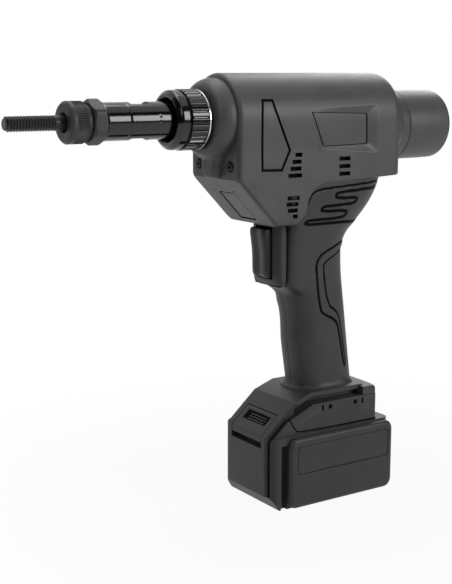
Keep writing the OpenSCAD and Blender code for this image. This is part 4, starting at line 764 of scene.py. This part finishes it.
def cover_grid():
    """Pear-shaped front cover as heights over the body's face in polar rows about the nose: a low plate
    over the smooth union of two circles, with a rounded edge, under a dome that ends flat round the
    neck."""
    a = np.linspace(0, 2 * np.pi, 200, endpoint=False)
    far = np.arange(12, 46, 0.05)[:, None]
    neck_r, dome_h, dome_r = 16.4, 13, 28.6
    round_r, boss_r, boss_drop, blend = 28.3, 9.4, 32.4, 9
    plate_h, plate_edge = 6.2, 3.2

    def edge(rho):
        """Distance inside the pear: the smooth least of the distances to its two circles."""
        return -least(rho - round_r, np.hypot(rho * np.cos(a), rho * np.sin(a) + boss_drop) - boss_r, blend)

    inside = edge(far) > 0
    reach = far[len(far) - 1 - np.argmax(inside[::-1], axis=0), 0]
    rho = neck_r + (reach - neck_r) * np.sin(np.linspace(0, np.pi / 2, 46))[:, None]
    deep = edge(rho)
    dome, plate = dome_h * arc((dome_r - rho) / 7), plate_h * arc(deep / plate_edge)
    rise = np.minimum(-least(-dome, -plate, 3, np.minimum(1, deep / 3)), dome_h)
    inner = np.array([(12.8, 27), (15.7, 27), (16, 26.5), (16, 13.4)])
    rho = np.concatenate((np.repeat(inner[:, :1], len(a), 1), rho, rho[-1:]))
    rise = np.concatenate((np.repeat(inner[:, 1:], len(a), 1), rise, rise[-1:] * 0 - 2))
    return points(FRONT_X - rise, rho * np.cos(a), NOSE_Z + rho * np.sin(a))


def ring_radius(x, a, r):
    """Radius of the locking ring: narrow round grooves between broad lands on the rear part."""
    x = x - span("locking_ring")[0]
    groove = fade(0.06, 0.24, np.abs((a * count("flutes") / (2 * np.pi)) % 1 - 0.5))
    return r - groove * (r > 19.6) * ease(9.8, 10.6, x) * fade(22, 22.8, x)


def tube_radius(x, a, r):
    """Radius of the nose tube: two flats cut by planes 11.2 mm off the axis, a fine ring line, and two
    dots."""
    x = x - span("nose_tube")[0]
    flat_off, tube_r = 11.2, 12.7
    flat = np.minimum(r, flat_off / np.maximum(np.abs(np.sin(a)), 1e-3))
    on = ease(20.2, 20.6, x) * fade(33.8, 34.2, x)
    line = 0.25 * fade(0.2, 0.5, np.abs(x - 17))
    dots = [0.3 * fade(0.5, 0.9, np.hypot(x - 39, (np.pi + t - a) * tube_r)) for t in (-0.25, 0.05)]
    return np.where(r > 10, r + (flat - r) * on - line - dots[0] - dots[1], r)


def nut_radius(x, a, r):
    """Radius of the lock nut: the smooth least of its turned line and a hexagon."""
    across = 13.6
    flat = across / np.cos((a + np.pi / 6) % (np.pi / 3) - np.pi / 6)
    return np.where(r > 12.1, least(flat, r, 0.9), r)


def anvil_radius(x, a, r):
    """Radius of the anvil: straight triangular knurls on its head."""
    x = x - span("anvil")[0]
    wave = np.abs((a * count("knurls") / (2 * np.pi)) % 1 - 0.5) * 2
    return r - 0.7 * wave * (r > 12.9) * ease(4.2, 4.9, x) * fade(12, 12.6, x)


def thread_radius(x, a, r):
    """Radius of the mandrel: a helix whose phase gains one turn per pitch, with flat crests and roots, that
    fades at the end of the thread."""
    x = x - span("pull_mandrel")[0]
    phase = (x / size("thread_pitch") - a / (2 * np.pi)) % 1
    cut = np.clip((np.abs(phase - 0.5) - 0.06) / 0.36, 0, 1)
    return r - 0.92 * cut * fade(32.5, 34.5, x) * ease(3.5, 4.2, r)


class RIVET_OT_nose(bpy.types.Operator):
    """Front cover, locking ring, nose tube, lock nut, anvil and threaded mandrel"""
    bl_idname = "rivet.nose"
    bl_label = "Nose"

    def execute(self, context):
        piece("pear_cover", cover_grid(), "body", "body_plastic", "front_cover", caps="ab", sharp=50)
        x0, x1 = span("locking_ring")
        line = dense(rounded([
            (x0 + 5, 13.1, 0), (x0 + 0.3, 15.6, 0.3), (x0, 17.2, 1.2), (x0 + 2.6, 20.2, 2.4),
            (x0 + 8, 20.4, 0.5), (x0 + 8.3, 19.0, 0.3), (x0 + 9.5, 19.0, 0.3), (x0 + 9.8, 20.8, 0.5),
            (x1 - 1.7, 20.8, 0.5), (x1 - 1.6, 19.8, 0.2), (x1, 19.8, 0.3), (x1, 16.4, 0.3),
            (x1 - 11.8, 16.4, 0), (x1 - 11.8, 13.1, 0)]), 0.7)
        piece("fluted_ring", turned(line, NOSE_Z, 16 * count("flutes"), ring_radius), "locking_ring",
              "gloss_black_metal", "locking_ring", ring=True)
        rim = rounded([(x1 - 1.4, 19.7, 0), (x1 - 1.4, 20.7, 0.2), (x1 - 0.3, 20.7, 0.2),
                       (x1 - 0.3, 19.7, 0)])
        piece("ring_rim", turned(rim, NOSE_Z, 160), "locking_ring", "bright_steel", ring=True)
        x0, x1 = span("nose_tube")
        line = dense(rounded([(x0 + 2, 9, 0), (x0, 9.6, 0.3), (x0, 12.7, 0.9), (x1, 12.7, 0.2),
                              (x1, 9, 0)]), 0.5)
        piece("gloss_tube", turned(line, NOSE_Z, 128, tube_radius), "body", "gloss_black_metal", "nose_tube",
              ring=True)
        x0, x1 = span("lock_nut")
        line = dense(rounded([(x0, 12, 0), (x0, 13.3, 0.8), (x0 + 1.5, 15.2, 1.2), (x1 - 1.5, 15.2, 1.2),
                              (x1, 13.3, 0.8), (x1, 12, 0)]), 0.6)
        piece("hex_lock_nut", turned(line, NOSE_Z, 192, nut_radius), "lock_nut", "phosphated_steel",
              "lock_nut", ring=True)
        x0, x1 = span("anvil")
        line = dense(rounded([
            (x0 + 1, 6.4, 0), (x0, 7, 0.4), (x0, 12.2, 0.5), (x0 + 1.7, 13.9, 0.6), (x0 + 12.4, 13.9, 0.5),
            (x0 + 13, 13.2, 0.4), (x0 + 13, 11.7, 0.3), (x0 + 26.3, 11.7, 0.2), (x0 + 26.3, 8.7, 0),
            (x1, 8.7, 0.3), (x1, 6.4, 0)]), 0.5)
        piece("knurled_anvil", turned(line, NOSE_Z, 8 * count("knurls"), anvil_radius), "anvil",
              "phosphated_steel", "anvil", ring=True)
        x0, x1 = span("pull_mandrel")
        shank = x0 + 36
        line = rounded([(x0, 0, 0), (x0, 3.6, 0.4), (x0 + 1.4, 5, 0.2), (shank, 5, 0), (x1, 5, 0),
                        (x1, 0, 0)])
        cut = line[:, 0] <= shank + 0.01
        line = np.vstack((dense(line[cut], 0.12), line[~cut]))
        piece("threaded_mandrel", turned(line, NOSE_Z, 48, thread_radius), "mandrel", "mandrel_steel",
              "pull_mandrel", sharp=60)
        return {"FINISHED"}


class RIVET_OT_drum(bpy.types.Operator):
    """Rear drum"""
    bl_idname = "rivet.drum"
    bl_label = "Rear drum"

    def execute(self, context):
        x0, x1, r = SEAM_X + 0.3, span("rear_drum")[1], span("rear_drum", 2)[1] - DRUM_Z
        line = rounded([(x0, 20.5, 0), (x0, r - 0.5, 0.3), (x0 + 0.6, r, 0.4), (x1 - 14, r, 0),
                        (x1, r - 0.3, 3.4), (x1 - 0.1, 12, 0), (x1, 0, 0)], 9)
        line = np.vstack((line, [(x1 - 3, 0), (x1 - 3, 20.5)]))
        piece("twist_drum", turned(line, DRUM_Z, 128), "rear_drum", "body_plastic", "rear_drum", ring=True)
        return {"FINISHED"}


# Handle

def oval(t, front, rear, half, nose, tail):
    """Point and outward normal at an angle of an oval made of two halves, |x|^p + |y|^p = 1, with one power
    for the front half and one for the rear half."""
    c, s = np.cos(t), np.sin(t)
    p = np.where(c < 0, nose, tail)
    mid, reach = (front + rear) / 2, (rear - front) / 2
    x, y = mid + reach * np.sign(c) * np.abs(c) ** (2 / p), half * np.sign(s) * np.abs(s) ** (2 / p)
    nx = np.sign(c) * np.abs((x - mid) / reach) ** (p - 1) / reach
    ny = np.sign(s) * np.abs(y / half) ** (p - 1) / half
    norm = np.hypot(nx, ny)
    return x, y, nx / norm, ny / norm


def even_angles(front, rear, half, nose, tail, places):
    """Angles that place points evenly along an oval's length, found from its running length."""
    t = np.pi / 2 * (np.arange(4)[:, None] + ease(0, 1, np.linspace(0, 1, 800, endpoint=False))).ravel()
    t = np.append(t, 2 * np.pi)
    x, y, _, _ = oval(t, front, rear, half, nose, tail)
    along = np.concatenate(([0], np.cumsum(np.hypot(np.diff(x), np.diff(y)))))
    return np.interp(np.linspace(0, along[-1], places, endpoint=False), along, t)[None]


def handle_tracks(z):
    """Front, rear, half width and front power of the handle's oval at a height: smooth tracks through the
    table, and near the foot a concave quarter-circle flare."""
    share = (z - FOOT_TOP) / HANDLE_H
    front, rear, half, power = (track(share, HANDLE[:, 0], HANDLE[:, k]) for k in (1, 2, 3, 4))
    guard_share, body_low, body_deep = 0.515, 207.5, 210.5
    front = np.maximum(np.where(share > guard_share, HANDLE_FRONT, front), HANDLE_FRONT) \
        - 8 * ease(body_low, body_deep, z)
    flare_out, flare_up = 4.5, 6
    flare = flare_out * (1 - arc((z - FOOT_TOP) / flare_up))
    return front - flare, rear + flare * 0.4, half + flare * 0.7, power


def handle_y(x, z):
    """Half width of the handle's oval at a place on its side."""
    front, rear, half, power = handle_tracks(z)
    u = np.clip((2 * x - front - rear) / (rear - front), -0.97, 0.97)
    p = np.where(u < 0, power, TAIL_POWER)
    return half * (1 - np.abs(u) ** p) ** (1 / p)


def trigger_well(y, z, half, rim):
    """Share by which the trigger's well is pressed in: 1 within a half width and between the well's
    heights."""
    edge = 0.3
    return fade(half, half + rim, np.abs(y)) * ease(WELL_LOW, WELL_LOW + edge, z) \
        * fade(WELL_TOP, WELL_TOP + edge, z)


def handle_grid():
    """Closed skin of the handle and its painted shade levels: ovals of two powers, front and rear, on smooth
    tracks of front, rear and width up the height. Grooves, the grip strips, screw holes and the trigger's
    well are pressed in along the ovals' normals; the grooves, the seams round the strips, the notches, the
    screw holes and the well carry painted shade."""
    z = np.concatenate(([FOOT_TOP - 2.5], np.linspace(FOOT_TOP - 1, FOOT_TOP + HANDLE_H + 1.5, 250)))[:, None]
    front, rear, half, power = handle_tracks(z)
    t = np.vstack([even_angles(*row, TAIL_POWER, 300) for row in np.hstack((front, rear, half, power))])
    x, y, nx, ny = oval(t, front, rear, half, power, TAIL_POWER)
    flank = ease(0.3, 0.45, np.abs(y) / half)
    width, depth = size("groove_width"), size("groove_depth")
    snake = fade(0.3 * width, 0.58 * width, line_distance(x, z, eased(SNAKE)))
    web = fade(0.45, 0.9, line_distance(x, z, eased(WEB_LINE)))
    strip = outline_distance(x, z, eased(STRIP, True, 1))
    seam = fade(0.45, 0.9, np.abs(strip))
    notch = np.max([fade(0.5, 1.0, np.abs(z - FOOT_TOP - k)) for k in (13, 17, 21)], 0) \
        * ease(0.86, 0.92, (2 * x - front - rear) / (rear - front)) * (np.abs(y) < 11)
    press = flank * (depth * snake + web + 1.1 * seam - 0.45 * fade(-0.9, -0.4, strip) * (1 - seam)) \
        + 1.2 * notch + 0.3 * fade(0.2, 0.7, np.abs(y))
    x, y = x - nx * press, y - ny * press
    holes = np.max([fade(3.2, 3.8, np.hypot(x - a, z - b)) for a, b in HANDLE_SCREWS], 0) * (y > 8)
    y = y - np.maximum(y - SCREW_FLOOR, 0) * holes
    well_floor = -29
    well = trigger_well(y, z - 0.1, 10.3, 0.4) * (np.cos(t) < -0.3)
    x = x + well * np.maximum(well_floor - x, 0)
    # Painted shade in the grooves, the strips' seams, the notches, the screw holes and the trigger's well
    dark = 0.4 * flank * (snake + web + seam) + 0.7 * notch + 0.9 * holes + well
    return points(x, y, z), np.clip(dark, 0, 1)


def trigger_grid():
    """Finger piece as ovals up its height: the front follows a shallow sine hollow, has a trough down its
    middle, leans forward at the top and draws in at both ends; the rear is flat inside the guard."""
    x0, (z0, z1) = span("trigger")[0], span("trigger", 2)
    s = np.linspace(-1, 1, 70)[:, None]
    end = (1 - np.abs(s) ** 10) ** (1 / 3)
    front = x0 + 1.9 + 0.9 * np.cos(s * np.pi / 2) ** 2 - 1.7 * s + 2.5 * (1 - end)
    nose, tail, half, deep = 4.5, 9, 9.7, 9
    t = even_angles(-1, 1, 1, nose, tail, 120)
    x, y, _, _ = oval(t, front, x0 + deep, half - 1.2 * (1 - end), nose, tail)
    trough = 0.9 * fade(0, 6.5, np.abs(y)) * (np.cos(t) < 0)
    return points(x + trough, y, (z0 + z1) / 2 + 0.3 + ((z1 - z0) / 2 + 0.6) * s)


def guard_grid():
    """Trigger guard and its painted shade levels as ovals up its height: a rounded chin in front and a round
    heel behind at its lower end, a well for the trigger pressed into the front, and a seam along the
    handle. The seam, the well and a band along the lower end carry painted shade."""
    z0, z1 = np.add(span("trigger_bezel", 2), (-1.3, 0.2))
    nose, tail = 1.9, 12
    z = z0 + (z1 - z0) * np.linspace(0, 1, 130)[:, None] ** 1.25
    front = GUARD_FRONT + 6.2 * (1 - arc((z - z0) / 11.5))
    rear = GUARD_REAR - 6.2 * (1 - arc((z - z0) / 6.5))
    half = GUARD_HALF - 2.5 * (1 - arc((z - z0) / 2.5))
    t = even_angles(GUARD_FRONT, GUARD_REAR, GUARD_HALF, nose, tail, 260)
    x, y, nx, ny = oval(t, front, rear, half, nose, tail)
    seam = ease(-1.7, -1.1, x - rear) * (np.abs(y) > 9)
    x, y = x - nx * seam, y - 1.4 * ny * seam
    well_floor, under_x = -41, -47
    well = trigger_well(y, z, 10.1, 0.3) * (np.cos(t) < -0.05)
    x = x + well * np.maximum(well_floor - x, 0)
    # Painted shade in the seam, the well and a band along the guard's lower end
    return points(x, y, z), np.clip(seam + well + fade(0.7, 1.6, z - z0) * (x > under_x), 0, 1)


def heel_grid():
    """Block behind the handle's foot: upright sections across the width with round upper corners, drawn in
    towards both sides by the root of a cosine."""
    x0, z0 = span("foot")[1] - 3.6, span("battery_top", 2)[1] + 0.3
    heel_l, heel_h, heel_half = 13.6, 6.8, 30
    rows = []
    for turn in np.linspace(-np.pi / 2, np.pi / 2, 40):
        draw = 5 * (1 - np.cos(turn) ** 0.5)
        top, back = z0 + heel_h - 0.3 * draw, x0 + heel_l - 0.4 * draw
        line = rounded([(x0, z0, 0), (x0, top, 1), (back, top, 5), (back, z0, 0)])
        rows.append(points(line[:, 0], heel_half * np.sin(turn), line[:, 1]))
    return np.array(rows)


class RIVET_OT_handle(bpy.types.Operator):
    """Handle with its snaking grooves and grip strips, trigger, guard and foot"""
    bl_idname = "rivet.handle"
    bl_label = "Handle"

    def execute(self, context):
        grid, dark = handle_grid()
        piece("grip_shell", grid, "body", "handle_plastic", "handle_left", "handle_right", "grip_strip_left",
              "grip_strip_right", caps="ab", recess=dark, sharp=42)
        # Ribbons in the grooves whose floors are wholly in painted shade
        floor = ((-0.5, 1.2), (-0.5, 0.15), (0, 0.2), (0.5, 0.15), (0.5, 1.2))
        for name, path, width in (("snake_groove", eased(SNAKE), 1.35), ("web_groove", eased(WEB_LINE), 1.0),
                                  ("strip_groove", eased(STRIP, rounds=1), 1.25)):
            path = dense(path, 0.7)
            front, rear = handle_tracks(path[:, 1])[:2]
            path = path[np.abs(2 * path[:, 0] - front - rear) < 0.95 * (rear - front)]
            for side, word in SIDES:
                piece("%s_%s" % (name, word), ribbon(path, width, floor, handle_y, side), "body",
                      "handle_plastic", caps="ab", recess=1)
        piece("finger_trigger", trigger_grid(), "trigger", "trigger_plastic", "trigger", caps="ab", sharp=40)
        x0, x1 = span("trigger")
        stem = np.array([(x0 + 8.6, 0), (x0 + 8.6, 3), (x1 - 4.4, 3), (x1 - 4.4, 0)])
        piece("trigger_stem", turned(stem, sum(span("trigger", 2)) / 2, 32), "trigger", "trigger_plastic")
        grid, dark = guard_grid()
        piece("trigger_guard", grid, "body", "handle_plastic", "trigger_bezel", caps="ab", recess=dark,
              sharp=45)
        softened("foot_plate", "foot", "body", "handle_plastic", 0.9)
        piece("foot_heel", heel_grid(), "body", "handle_plastic", caps="ab")
        return {"FINISHED"}


# Battery

def pad_grid(side):
    """Side pad and its painted shade levels as outlines of a round-cornered rectangle at growing insets: the
    edge follows a quarter circle, and the face carries a faint line round a bare label, pressed in and
    darkened with painted shade."""
    (x0, x1), (y0, y1), (z0, z1) = (span("side_pad_left", k) for k in range(3))
    edge_r, foot_y = 3.2, 31.5
    insets = np.concatenate(([0, 0], edge_r * (1 - np.cos(np.linspace(0, np.pi / 2, 8)))[1:],
                             np.arange(3.8, 26, 0.55)))
    corner_r = 7
    rows = np.array([round_box((x1 - x0) / 2 - i, (z1 - z0) / 2 - i, max(corner_r - i, 0.02), 60, 8)
                     for i in insets])
    x, z = rows[..., 0] + (x0 + x1) / 2, rows[..., 1] + (z0 + z1) / 2
    rise = y1 - y0 - edge_r * (1 - arc(insets[:, None] / edge_r)) + 0 * x
    rise[0] = 0
    label_x, label_z, half_x, half_z, label_r = 1, 36.5, 40, 7.5, 3
    off_x, off_z = np.abs(x - label_x) - half_x, np.abs(z - label_z) - half_z
    box = np.maximum(off_x, off_z)
    label = np.where(box > 0, np.hypot(np.maximum(off_x, 0), np.maximum(off_z, 0)), box) - label_r
    line = fade(0.2, 0.6, np.abs(label))
    rise = rise - 0.35 * line - 0.12 * fade(-0.6, 0, label)
    # Painted shade along the label's line
    return points(x, side * (foot_y + rise), z), 0.8 * line


class RIVET_OT_battery(bpy.types.Operator):
    """Battery pads, case, top, front panel, latch, and the seams and marks of the skirt"""
    bl_idname = "rivet.battery"
    bl_label = "Battery"

    def execute(self, context):
        for side, word in SIDES:
            grid, dark = pad_grid(side)
            piece("rubbed_pad_" + word, grid, "battery", "battery_plastic", "side_pad_" + word, caps="ab",
                  recess=dark)
        softened("pack_case", "battery_case", "battery", "battery_plastic", 1.0)
        softened("pack_top", "battery_top", "battery", "battery_plastic", 0.6)
        softened("pack_front", "front_panel", "battery", "battery_plastic", 0.9)
        softened("release_button", "latch_button", "latch", "battery_plastic", 0.8)

        across = np.array((0, 1, 0))
        corner = np.array((span("latch_button")[0], 0, span("latch_button", 2)[0] + 5))
        up = np.array((span("front_panel")[1], 0, span("front_panel", 2)[1])) - corner
        up = up / np.hypot(up[0], up[2])
        out = np.cross(up, across)
        # The latch well is a dark plate laid on the window's floor as painted shade; the ridges carry none
        bars = [("latch_well_shade_plate", 12.5, 3.9, 13.9, -3.45, 0.25, 1)] + [
            ("latch_ridge_%d" % (k + 1), 10.2 + 2.2 * k, 0.65, 10.5, -3.3, 1.9, 0) for k in range(3)]
        for name, along, half, half_y, base, rise, dark in bars:
            steps = ((0, 0), (0, 0.6 * rise), (0.3 * half, 0.95 * rise), (0.7 * half, rise))
            rows = stepped(corner + along * up + base * out, up, across, out, (half, half_y), 0.6, steps,
                           (10, 5), 0.05)
            piece(name, rows, "latch", "battery_plastic", caps="ab", recess=dark)

        seam = dense(eased(SKIRT_SEAM), 1.5)
        proud = ((-0.5, 1.5), (-0.5, 0), (0, -0.05), (0.5, 0), (0.5, 1.5))
        mark_z = 71.5
        marks = [(-15.2, 0.95, 2.4), (-8.2, 1.8, 1.8), (15.7, 1.8, 1.8), (22.7, 0.95, 2.4)]
        steps = ((0, -0.6), (0, 0.06), (0.3, 0.08), (1, 0.08))
        for side, word in SIDES:
            # The seam ribbon's floor is wholly in painted shade
            piece("skirt_seam_" + word, ribbon(seam, 1.1, proud, lambda x, z: SKIRT_Y, side), "battery",
                  "battery_plastic", caps="ab", recess=1)
            for k, (x, half_w, half_h) in enumerate(marks):
                rows = stepped(np.array((x, side * SKIRT_Y, mark_z)), np.array((1, 0, 0)),
                               np.array((0, 0, 1)), side * across, (half_w, half_h), min(half_w, half_h),
                               steps, (2, 6), 0.005)
                piece("skirt_mark_%s_%d" % (word, k + 1), rows, "battery", "battery_plastic", caps="ab",
                      recess=1)
        return {"FINISHED"}


# Carried-over nodes and springs

def coil_grid(start, end, radius, wire, turns):
    """Coil spring between two points: a round wire swept along a helix, its ring at each step spanned by
    the direction away from the axis and the axis."""
    start, end = np.asarray(start, float), np.asarray(end, float)
    axis = (end - start) / np.linalg.norm(end - start)
    u = np.cross(axis, (0, 1, 0))
    v = np.cross(axis, u)
    s = np.linspace(0, 1, int(turns * 30))[:, None]
    out = np.cos(2 * np.pi * turns * s) * u + np.sin(2 * np.pi * turns * s) * v
    ring = np.linspace(0, 2 * np.pi, 12, endpoint=False)[None, :, None]
    middle = start + s * (end - start) + radius * out
    return middle[:, None] + wire * (np.cos(ring) * out[:, None] + np.sin(ring) * axis)


class RIVET_OT_inner(bpy.types.Operator):
    """Finishes of the CAD nodes that stay, such as screws, drive, motor, board and cells, and the two
    springs"""
    bl_idname = "rivet.inner"
    bl_label = "Screws and inner pieces"

    def execute(self, context):
        for row in frame["record"]["subparts"]:
            mesh = frame["nodes"][row["node"]].data
            mesh.materials.clear()
            mesh.materials.append(finish(row["material_slot"]))
        (x0, x1), middle = span("trigger_spring"), sum(span("trigger_spring", 2)) / 2
        coil_r = span("trigger_spring", 1)[1] - 0.5
        grid = coil_grid((x0 + 1.5, 0, middle), (x1 - 0.5, 0, middle), coil_r, 0.4, 5)
        piece("trigger_coil", grid, "body", "bright_steel", "trigger_spring", caps="ab")
        seat = np.array((span("latch_spring")[0] + 2, 0, span("latch_spring", 2)[0] + 2))
        out = np.array((-1, 0, 1)) / math.sqrt(2)
        coil_r = span("latch_spring", 1)[1] - 0.4
        grid = coil_grid(seat + 0.2 * out, seat + 0.7 * out, coil_r, 0.15, 1.6)
        piece("latch_coil", grid, "battery", "bright_steel", "latch_spring", caps="ab")
        return {"FINISHED"}


# Stage

def background_rays(tree):
    """Socket that is 1 for the rays that show the background: camera, glossy and transmission rays."""
    rays = link(tree, "LightPath").outputs
    seen = rays["Is Camera Ray"]
    for other in ("Is Glossy Ray", "Is Transmission Ray"):
        seen = link(tree, "Math", {0: seen, 1: rays[other]}, operation="MAXIMUM").outputs[0]
    return seen


def end_mix(tree, share, one, two, output):
    """Ends a tree with a mix of two shaders by a share of the second."""
    mix = link(tree, "MixShader", {0: share, 1: one.outputs[0], 2: two.outputs[0]})
    link(tree, output, {"Surface": mix.outputs[0]})


def soft_box(name, place, target, sides, power):
    """Rectangular lamp at a place, turned to a target."""
    lamp = bpy.data.lights.new(name, "AREA")
    lamp.shape, lamp.size, lamp.size_y, lamp.energy = "RECTANGLE", sides[0], sides[1], power
    obj = bpy.data.objects.new(name, lamp)
    bpy.context.scene.collection.objects.link(obj)
    obj.location = place
    obj.rotation_euler = (Vector(target) - Vector(place)).to_track_quat("-Z", "Y").to_euler()


def studio_sheet(name, grid, material):
    """Open sheet of the studio with one material."""
    mesh = surface(name, grid, wrap=False)
    mesh.materials.append(material)
    obj = bpy.data.objects.new(name, mesh)
    bpy.context.scene.collection.objects.link(obj)
    return obj


class RIVET_OT_stage(bpy.types.Operator):
    """Camera at the photograph's angle, pale floor, white surroundings, soft lamps and a dark tent"""
    bl_idname = "rivet.stage"
    bl_label = "Stage"

    def execute(self, context):
        scene = context.scene
        scene.view_settings.view_transform = "Standard"
        camera = bpy.data.cameras.new("studio_camera")
        camera.sensor_fit, camera.sensor_height, camera.lens = "VERTICAL", 36, 72.1
        camera.dof.use_dof = False
        seat = bpy.data.objects.new("studio_camera", camera)
        scene.collection.objects.link(seat)
        seat.location = (-0.5352, -0.6885, 0.3153)
        seat.rotation_euler = Vector((0.541, 0.821, -0.184)).to_track_quat("-Z", "Y").to_euler()
        scene.camera = seat

        white = (1, 1, 1, 1)
        scene.world = bpy.data.worlds.new("studio")
        tree = fresh_tree(scene.world)
        dim = link(tree, "Background", {"Color": white, "Strength": 0.12})
        bright = link(tree, "Background", {"Color": white, "Strength": 1.0})
        end_mix(tree, background_rays(tree), dim, bright, "OutputWorld")

        pale = bpy.data.materials.new("pale_floor")
        tree = fresh_tree(pale)
        far = link(tree, "VectorMath", {0: link(tree, "TexCoord").outputs["Object"]}, operation="LENGTH")
        share = spread(tree, far.outputs["Value"], 0.1, 0.4, 0.94, 1.0, interpolation_type="SMOOTHSTEP")
        seen = link(tree, "Math", {0: background_rays(tree), 1: share}, operation="MULTIPLY")
        matt = link(tree, "BsdfDiffuse", {"Color": (0.5, 0.5, 0.5, 1)})
        glow = link(tree, "Emission", {"Color": white, "Strength": 1.0})
        end_mix(tree, seen.outputs[0], matt, glow, "OutputMaterial")
        u = np.linspace(-4000, 4000, 9)
        studio_sheet("floor", points(u, u[:, None], 0.0), pale)

        soft_box("top_box", (-0.15, 0.25, 1.3), (-0.03, 0, 0.25), (1.2, 0.5), 6)
        soft_box("key_box", (0.66, -1.2, 0.68), (-0.08, 0, 0.25), (0.6, 0.7), 12)
        soft_box("fill_box", (-1.1, -0.75, 0.9), (-0.08, 0, 0.2), (0.6, 0.6), 3)
        soft_box("rear_box", (0.8, 0.6, 0.8), (0, 0, 0.22), (0.5, 0.8), 4)

        card = bpy.data.materials.new("dark_card")
        tree = fresh_tree(card)
        cloth = link(tree, "BsdfPrincipled", {"Base Color": (0.02, 0.02, 0.02, 1), "Roughness": 0.9})
        link(tree, "OutputMaterial", {"Surface": cloth.outputs[0]})
        turn, height, tent_r = np.radians(np.linspace(150, 385, 48)), np.linspace(20, 2400, 8)[:, None], 1900
        tent = studio_sheet("dark_tent", points(tent_r * np.cos(turn), tent_r * np.sin(turn), height), card)
        tent.visible_camera = False
        return {"FINISHED"}


OPERATORS = (RIVET_OT_inner, RIVET_OT_body, RIVET_OT_inlays, RIVET_OT_nose, RIVET_OT_drum, RIVET_OT_handle,
             RIVET_OT_battery, RIVET_OT_stage)


class RIVET_PT_tool(bpy.types.Panel):
    """Lists the pieces of the tool with their sizes and colours"""
    bl_idname = "RIVET_PT_tool"
    bl_label = "Rivet nut tool"
    bl_space_type = "VIEW_3D"
    bl_region_type = "UI"
    bl_category = "Rivet tool"

    def draw(self, context):
        for group in (context.scene.rivet_sizes, context.scene.rivet_finishes):
            for key in group.__annotations__:
                self.layout.prop(group, key)
        for operator in OPERATORS:
            self.layout.operator(operator.bl_idname)


CLASSES = (RivetSizes, RivetFinishes) + OPERATORS + (RIVET_PT_tool,)


def register():
    """Registers the classes and hangs the settings on the scene."""
    for item in CLASSES:
        bpy.utils.register_class(item)
    bpy.types.Scene.rivet_sizes = PointerProperty(type=RivetSizes)
    bpy.types.Scene.rivet_finishes = PointerProperty(type=RivetFinishes)


def unregister():
    """Takes the settings and the classes away again."""
    del bpy.types.Scene.rivet_finishes
    del bpy.types.Scene.rivet_sizes
    for item in reversed(CLASSES):
        bpy.utils.unregister_class(item)


def main():
    """Builds every group of pieces in order."""
    register()
    for operator in OPERATORS:
        getattr(bpy.ops.rivet, operator.bl_idname.split(".")[1])()


if __name__ == "__main__":
    main()
